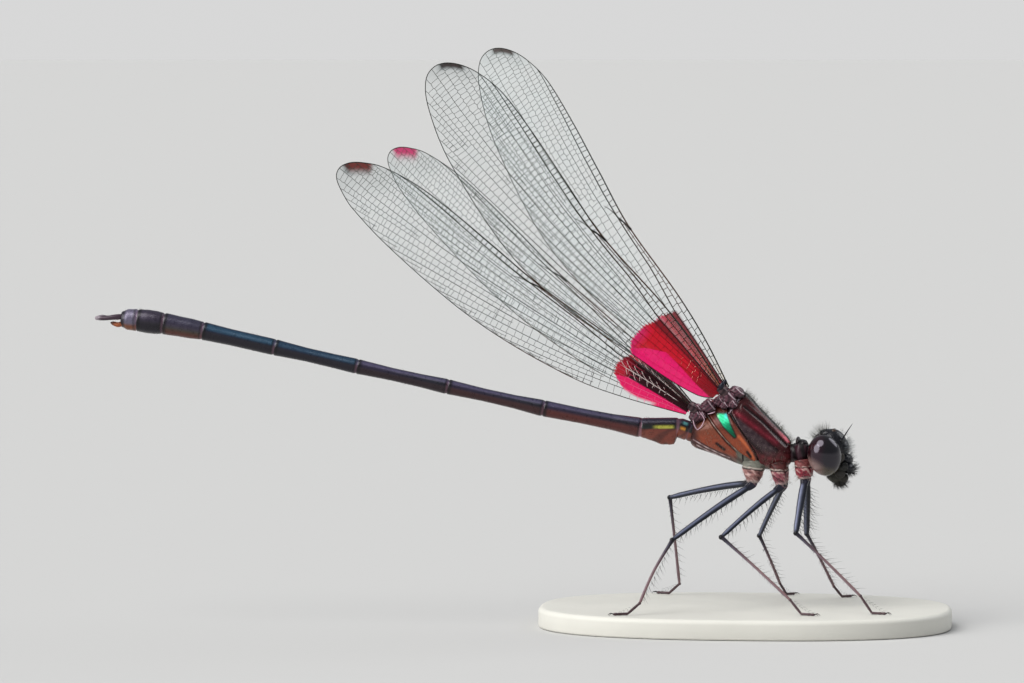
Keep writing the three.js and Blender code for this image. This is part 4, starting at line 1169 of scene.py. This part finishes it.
def back_hair(bag):
    """Fine hair along the back of the chest."""
    n = 620
    x = rng.uniform(-0.1, 2.85, n)
    _, high, _ = table(chest_stations, x).T
    y = rng.normal(size=n) * 0.28
    roots = np.stack([x, y, high - 0.7 * np.abs(y) - 0.02], -1)
    ways = np.stack([0.62 + 0 * x, y * 0.9, 0.8 + 0 * x], -1) + rng.normal(size=(n, 3)) * 0.18
    hairs(bag, roots, ways, rng.uniform(0.2, 0.52, n), 0.0065, lin(84, 82, 70))


def flank_hair(bag):
    """Sparse hair of the flanks and underside of the chest."""
    n = 420
    x = rng.uniform(-2.8, 2.5, n)
    low, high, half = table(chest_stations, x).T
    a = rng.uniform(-0.75, 0.1, n)
    side = rng.choice([-1, 1], n)
    roots = np.stack([x, half * np.cos(a) ** 0.8 * side, (low + high) / 2 + (high - low) / 2 * np.sin(a)], -1)
    ways = np.stack([0 * x, side * np.cos(a), np.sin(a) - 0.1], -1) + rng.normal(size=(n, 3)) * 0.2
    hairs(bag, roots, ways, rng.uniform(0.12, 0.34, n), 0.007, lin(120, 110, 98))


def make_body_hair():
    bag = Bag()
    for row in head_tufts:
        tuft(bag, *row)
    back_hair(bag)
    flank_hair(bag)
    bag.make("body_hair", hair_shell, bake_map=True)


# Legs

# Root, hip, knee, ankle and toe of each leg
legs = {
    "front_right": [
        (3.42, -0.74, 9.95), (3.64, -0.84, 8.95), (3.24, -3.2, 5.95), (7.15, -4.15, 2.3), (8.7, -4.5, 0),
    ],
    "front_left": [
        (3.42, 0.74, 9.95), (3.68, 0.84, 8.92), (3.55, 3.4, 5.35), (5.15, 5.2, 1.93), (6.2, 6.0, 0),
    ],
    "middle_right": [
        (1.95, -0.76, 9.75), (2.2, -0.95, 8.55), (-1.2, -3.6, 5.7), (3.0, -5.0, 2.1), (4.5, -5.6, 0),
    ],
    "middle_left": [
        (1.95, 0.76, 9.75), (2.28, 0.95, 8.52), (0.6, 4.5, 5.1), (1.76, 6.4, 1.98), (2.62, 7.1, 0),
    ],
    "hind_right": [
        (0.48, -0.78, 9.85), (0.5, -1.0, 8.68), (-4.1, -4.2, 5.55), (-5.92, -6.0, 1.9), (-7.45, -6.6, 0),
    ],
    "hind_left": [
        (0.48, 0.78, 9.85), (0.3, 1.0, 8.62), (-4.9, 4.4, 7.4), (-4.45, 6.3, 1.9), (-5.9, 7.0, 0),
    ],
}
FOOT_HEIGHT = 0.1  # of the foot's middle line above the base
# Half thickness of each coxa along its length, the thigh's share, and the coxa's colours below and
# above its rim
leg_builds = {
    "front": ([0.46, 0.5, 0.48, 0.4, 0.28], 1.16, lin(132, 42, 56), lin(116, 62, 62)),
    "middle": ([0.5, 0.52, 0.43, 0.31, 0.26], 0.88, lin(144, 78, 88), lin(86, 42, 42)),
    "hind": ([0.66, 0.7, 0.55, 0.36, 0.28], 0.98, lin(140, 98, 94), lin(114, 114, 104)),
}
# Half thicknesses from end to end
thigh_radii = np.array([0.18, 0.222, 0.224, 0.216, 0.2, 0.182, 0.182, 0.12])
shin_radii = [0.14, 0.11, 0.098, 0.092, 0.09, 0.092, 0.1, 0.075]
SHELL_FINISH, STEPS = (0.34, 0.1, 1), 48
navy, highlight_lavender, foot_brown = lin(33, 36, 45), lin(122, 128, 154), lin(78, 60, 64)


def folds(s, a, seed):
    """Irregular waves over a rounded form, about -1 to 1."""
    draw = np.random.default_rng(seed)
    total = 0
    for along, across, size in ((6, 2, 0.8), (13, 3, 0.9), (24, 5, 0.8), (41, 8, 0.6)):
        sway = 1.3 * np.sin(across * a + draw.uniform(0, 6.28))
        total = total + size * np.sin(along * s + across * a + sway + draw.uniform(0, 6.28))
    return total / 1.7


def limb_piece(bag, points, radius, paint, around=20, flat=1.0, painted_highlight=0.0):
    """A ridged tube along points, with a painted highlight stripe along each side if asked."""
    s = np.linspace(0, 1, STEPS)
    path = spline(points, s)
    r = np.interp(s, np.linspace(0, 1, len(radius)), radius)
    rings = tube(path, r, r * flat, around)
    a = np.arange(around) / around * 2 * np.pi
    ridge = 1 - 0.1 * np.cos(4 * a + 0.4)
    rings = path[:, None] + (rings - path[:, None]) * ridge[None, :, None]
    colour = np.reshape(paint, (-1, 1, 3)) + np.zeros((STEPS, around, 3))
    # Painted highlight: pale lavender stripes along two opposite sides of the limb
    if painted_highlight:
        across = np.exp(-((np.abs(np.cos(a - 0.35)) - 1) / 0.06) ** 2)[None]
        along = (smooth(s, 0.04, 0.15) * smooth(s, 0.99, 0.9))[:, None]
        colour = mix(colour, highlight_lavender, across * along * painted_highlight)
    bag.grid(rings, colour, SHELL_FINISH)


def spine_rows(bag, start, end, radius, facing, count, length, colour, fat):
    """Two rows of bristles along a limb, on the side that it faces."""
    along = unit(end - start)
    across = np.cross(along, facing)
    roots, ways, sizes = [], [], []
    for row in (-0.62, 0.62):
        for k in range(count):
            f = 0.1 + 0.86 * (k + 0.25 * (row > 0)) / count + rng.uniform(-0.008, 0.008)
            out = unit(facing + across * row * rng.uniform(0.75, 1.25))
            roots.append(start + (end - start) * f + out * radius * 0.85)
            ways.append(out + along * rng.uniform(0.5, 0.85))
            sizes.append(length * (1 - 0.45 * abs(f - 0.45)) * rng.uniform(0.85, 1.1))
    hairs(bag, roots, ways, sizes, fat, colour, 0.12)


def coxa(bag, name, root, hip, out):
    """The mottled cone that carries the leg, with a pale and a dark line round it."""
    girth, _, tone, above = leg_builds[name.split("_")[0]]
    n, around = 70, 56
    s = np.linspace(0, 1, n)
    top, middle = root + vec(0.06, 0, 0.2), (root + hip) / 2 + vec(0.05, 0.03 * out, 0)
    path = spline([top, middle, hip + unit(root - hip) * 0.06], s)
    half = np.interp(s, [0, 0.2, 0.5, 0.85, 1], girth)
    a = np.arange(around) / around * 2 * np.pi
    wave = folds(s[:, None], a[None], len(name) + 3 * ord(name[0]))
    rings = tube(path, np.minimum(half, 0.5), half, around)
    rings = path[:, None] + (rings - path[:, None]) * (1 + 0.05 * wave)[..., None]
    colour = mix(tone, lin(62, 26, 34), smooth(wave, -0.25, -0.9) * 0.9)
    colour = mix(colour, lin(196, 164, 158), 0.8 * smooth(wave, 0.5, 1.05))
    colour = mix(colour, lin(168, 158, 154), 0.6 * smooth(s, 0.7, 0.9)[:, None])
    height = s[:, None] + 0.07 * np.sin(a + 2.4)[None] + 0.02 * wave
    cap = mix(above, above * 0.45, smooth(wave, -0.15, 0.6))
    colour = mix(colour, cap, smooth(height, 0.33, 0.29))
    pale = 0.8 * np.exp(-(((height - 0.26) / 0.022) ** 2)) * smooth(wave, -0.7, 0.1)
    colour = mix(colour, lin(206, 190, 180), pale)
    colour = mix(colour, lin(26, 16, 18), np.exp(-(((height - 0.31) / 0.025) ** 2)))
    bag.grid(rings, colour, (0.42, 0, 1))


def foot(bag, ankle, touch, tip):
    """Three joints that lie on the base, and two claws."""
    bag.grid(ball(ankle, (0.1, 0.1, 0.1), 14, 10), foot_brown, (0.4, 0, 1))
    first = ankle + (touch - ankle) * 0.55
    second, third = touch * 0.6 + tip * 0.4, touch * 0.4 + tip * 0.6
    limb_piece(bag, [ankle, first, touch], [0.07, 0.085, 0.085, 0.07], foot_brown, 12)
    limb_piece(bag, [touch, second, third], [0.085, 0.075, 0.09], foot_brown, 12)
    limb_piece(bag, [third, touch * 0.2 + tip * 0.8, tip], [0.085, 0.07, 0.09, 0.05], foot_brown, 12)
    ahead = unit((tip - touch) * vec(1, 1, 0))
    aside = vec(-ahead[1], ahead[0], 0)
    for k in (-1, 1):
        bend = tip + ahead * 0.14 + aside * 0.1 * k + vec(0, 0, 0.05)
        point = tip + ahead * 0.3 + aside * 0.14 * k + vec(0, 0, -0.05)
        path = spline([tip - ahead * 0.03, bend, point], np.linspace(0, 1, 12))
        bag.grid(tube(path, np.linspace(0.04, 0.008, 12), None, 8), lin(20, 14, 14), (0.3, 0, 1))
    return aside


def make_leg(name, points):
    root, hip, knee, ankle, toe = (np.array(p, float) for p in points)
    out = 1 if "left" in name else -1
    bag = Bag()
    coxa(bag, name, root, hip, out)
    s = np.linspace(0, 1, STEPS)
    way, shin = unit(knee - hip), unit(ankle - knee)
    ring = mix(lin(36, 36, 48), lin(150, 116, 124), 0.6 * np.exp(-(((s - 0.3) / 0.05) ** 2)))
    joint = [hip - way * 0.12 + vec(0, 0, 0.08), hip + way * 0.12, hip + way * 0.42]
    limb_piece(bag, joint, [0.24, 0.29, 0.25, 0.22], ring, 24)
    bow = vec(0, 0.06 * out, 0.08)
    thigh = [hip + way * 0.3, (hip * 2 + knee) / 3 + bow, (hip + 2 * knee) / 3 + bow, knee + way * 0.06]
    # Painted highlight stripes along the thigh, and fainter ones along the shin below
    limb_piece(bag, thigh, thigh_radii * leg_builds[name.split("_")[0]][1], navy, 24, 0.96, 0.8)
    bag.grid(ball(knee + way * 0.02, (0.16, 0.16, 0.16), 20, 14), lin(20, 20, 26), (0.3, 0.1, 1))
    tone = mix(lin(38, 34, 44), lin(122, 94, 94), smooth(s, 0.05, 0.6))
    sag = vec(-0.12 if name == "hind_right" else 0, 0.03 * out, 0.05)
    limb_piece(bag, [knee + shin * 0.02, (knee + ankle) / 2 + sag, ankle], shin_radii, tone, 16, 1.0, 0.3)
    touch = ankle * 0.55 + toe * 0.45
    touch[2] = BASE_TOP + FOOT_HEIGHT
    tip = vec(toe[0], toe[1], BASE_TOP + 0.09)
    aside = foot(bag, ankle, touch, tip)
    covered = [part + name for part in ("coxa_", "femur_", "tibia_", "tarsus_")]
    bag.make("leg_" + name, leg_shell, covered)

    bristles = Bag()
    inner = unit(ankle - knee) + unit(hip - knee)
    long_thigh, long_shin = (0.95, 0.8) if "front" in name else (0.6, 0.62)
    for a, b, radius, count, length, fat in (
        (hip + way * 0.3, knee, 0.2, 13, long_thigh, 0.016), (knee, ankle, 0.1, 11, long_shin, 0.012),
    ):
        along = unit(b - a)
        facing = unit(inner - along * np.dot(inner, along))
        spine_rows(bristles, a, b, radius, facing, count, length, lin(24, 20, 24), fat)
        n = 90
        f, t = rng.uniform(0.03, 0.97, n), rng.uniform(0, 2 * np.pi, n)
        around = facing * np.cos(t)[:, None] + np.cross(along, facing) * np.sin(t)[:, None]
        roots = a + (b - a) * f[:, None] + around * radius * 0.9
        hairs(bristles, roots, around + along * 0.9, rng.uniform(0.1, 0.22, n), 0.008, lin(60, 56, 62))
    spine_rows(bristles, ankle, tip, 0.07, unit(vec(0.2, 0, -0.3) + aside), 7, 0.22, lin(24, 20, 22), 0.012)
    n = 70
    a, f = rng.uniform(0, 2 * np.pi, n), rng.uniform(0.1, 0.95, n)[:, None]
    around = np.stack([np.cos(a), np.sin(a), 0 * a], -1)
    roots = root + (hip - root) * f + around * (0.5 - 0.12 * f)
    hairs(bristles, roots, around + vec(0, 0, -0.6), rng.uniform(0.15, 0.36, n), 0.008, lin(150, 140, 132))
    bristles.make("bristles_" + name, hair_shell, bake_map=True)


# Display base

BASE_WIDE, BASE_DEEP, BASE_POWER = 12.5, 8.6, 2.5  # half sizes, and how square its outline is
BASE_EDGE = 0.3  # radius of its upper edge


def make_base():
    bag = Bag()
    n = 240
    a = np.arange(n) / n * 2 * np.pi
    c, s = (np.sign(f) * np.abs(f) ** (2 / BASE_POWER) for f in (np.cos(a), np.sin(a)))
    # Height and inset of each ring, from the underside to the middle of the top
    rounding = [(0, 0.12), (0.03, 0.03), (0.12, 0)]
    for k in np.linspace(0, np.pi / 2, 9):
        rounding.append((BASE_TOP - BASE_EDGE + BASE_EDGE * math.sin(k), BASE_EDGE - BASE_EDGE * math.cos(k)))
    rounding += [(BASE_TOP, inset) for inset in (0.9, 3, 6, 8.2)]
    rings = [np.stack([(BASE_WIDE - i) * c, (BASE_DEEP - i) * s, 0 * a + z], -1) for z, i in rounding]
    bag.grid(np.stack(rings), lin(212, 211, 203), (0.5, 0, 1))
    bag.make("display_base", base_finish, ["stand_base"])


base_finish = surface("base_finish", grain=0.02, grain_mm=1.5, bump=0.12, bump_mm=0.2)
make_chest()
make_tail()
make_head()
for eye_side, eye_out in (("left", 1), ("right", -1)):
    make_eye(eye_side, eye_out)
make_body_hair()
for leg_name, leg_points in legs.items():
    make_leg(leg_name, leg_points)
make_base()


# Floor and soft studio light

FLOOR_TONE = 0.543
HORIZON, OVERHEAD = 0.684, 0.28  # light of the sky
FLOOR_SIZE, FLOOR_DROP = 400, 0.00002  # in metres, the second being its depth below the base
warm_light, cool_light = (1, 0.985, 0.965), (0.96, 0.98, 1)

def studio_floor():
    """A pale floor so wide that its far edge meets the light of the same tone behind it."""
    material = bpy.data.materials.new("floor")
    material.use_nodes = True
    shader = material.node_tree.nodes["Principled BSDF"]
    shader.inputs["Roughness"].default_value = 0.9
    shader.inputs["Specular IOR Level"].default_value = 0.0
    shader.inputs["Base Color"].default_value = (FLOOR_TONE, FLOOR_TONE, FLOOR_TONE * 0.985, 1)
    bpy.ops.mesh.primitive_plane_add(size=FLOOR_SIZE, location=(0, 0, -FLOOR_DROP))
    floor = bpy.context.object
    floor.name = "floor"
    floor.data.materials.append(material)


def sun(name, towards, strength, spread, colour):
    data = bpy.data.lights.new(name, "SUN")
    data.energy = strength
    data.angle = math.radians(spread)
    data.color = colour
    obj = bpy.data.objects.new(name, data)
    obj.rotation_euler = Vector(towards).to_track_quat("-Z", "Y").to_euler()
    bpy.context.collection.objects.link(obj)


def studio_sky():
    """Even light at the level of the horizon, dimmer overhead."""
    world = bpy.data.worlds.new("studio")
    bpy.context.scene.world = world
    world.use_nodes = True
    nodes, links = world.node_tree.nodes, world.node_tree.links
    place = nodes.new("ShaderNodeTexCoord")
    split = nodes.new("ShaderNodeSeparateXYZ")
    links.new(place.outputs["Generated"], split.inputs[0])
    ramp = nodes.new("ShaderNodeValToRGB")
    ramp.color_ramp.elements[0].position = 0.1
    ramp.color_ramp.elements[0].color = (HORIZON, HORIZON, HORIZON, 1)
    ramp.color_ramp.elements[1].position = 0.26
    ramp.color_ramp.elements[1].color = (OVERHEAD * 0.96, OVERHEAD, OVERHEAD * 1.08, 1)
    links.new(split.outputs["Z"], ramp.inputs["Fac"])
    links.new(ramp.outputs["Color"], nodes["Background"].inputs["Color"])
    nodes["Background"].inputs["Strength"].default_value = 1.0


studio_floor()
studio_sky()
sun("key", (0.35, 0.36, -0.85), 2.0, 42, warm_light)
sun("key_low", (0.8, 0.52, -0.5), 1.95, 41, warm_light)
sun("rim", (-0.6, -0.5, -0.62), 0.62, 34, cool_light)
bpy.context.scene.view_settings.view_transform = "Standard"
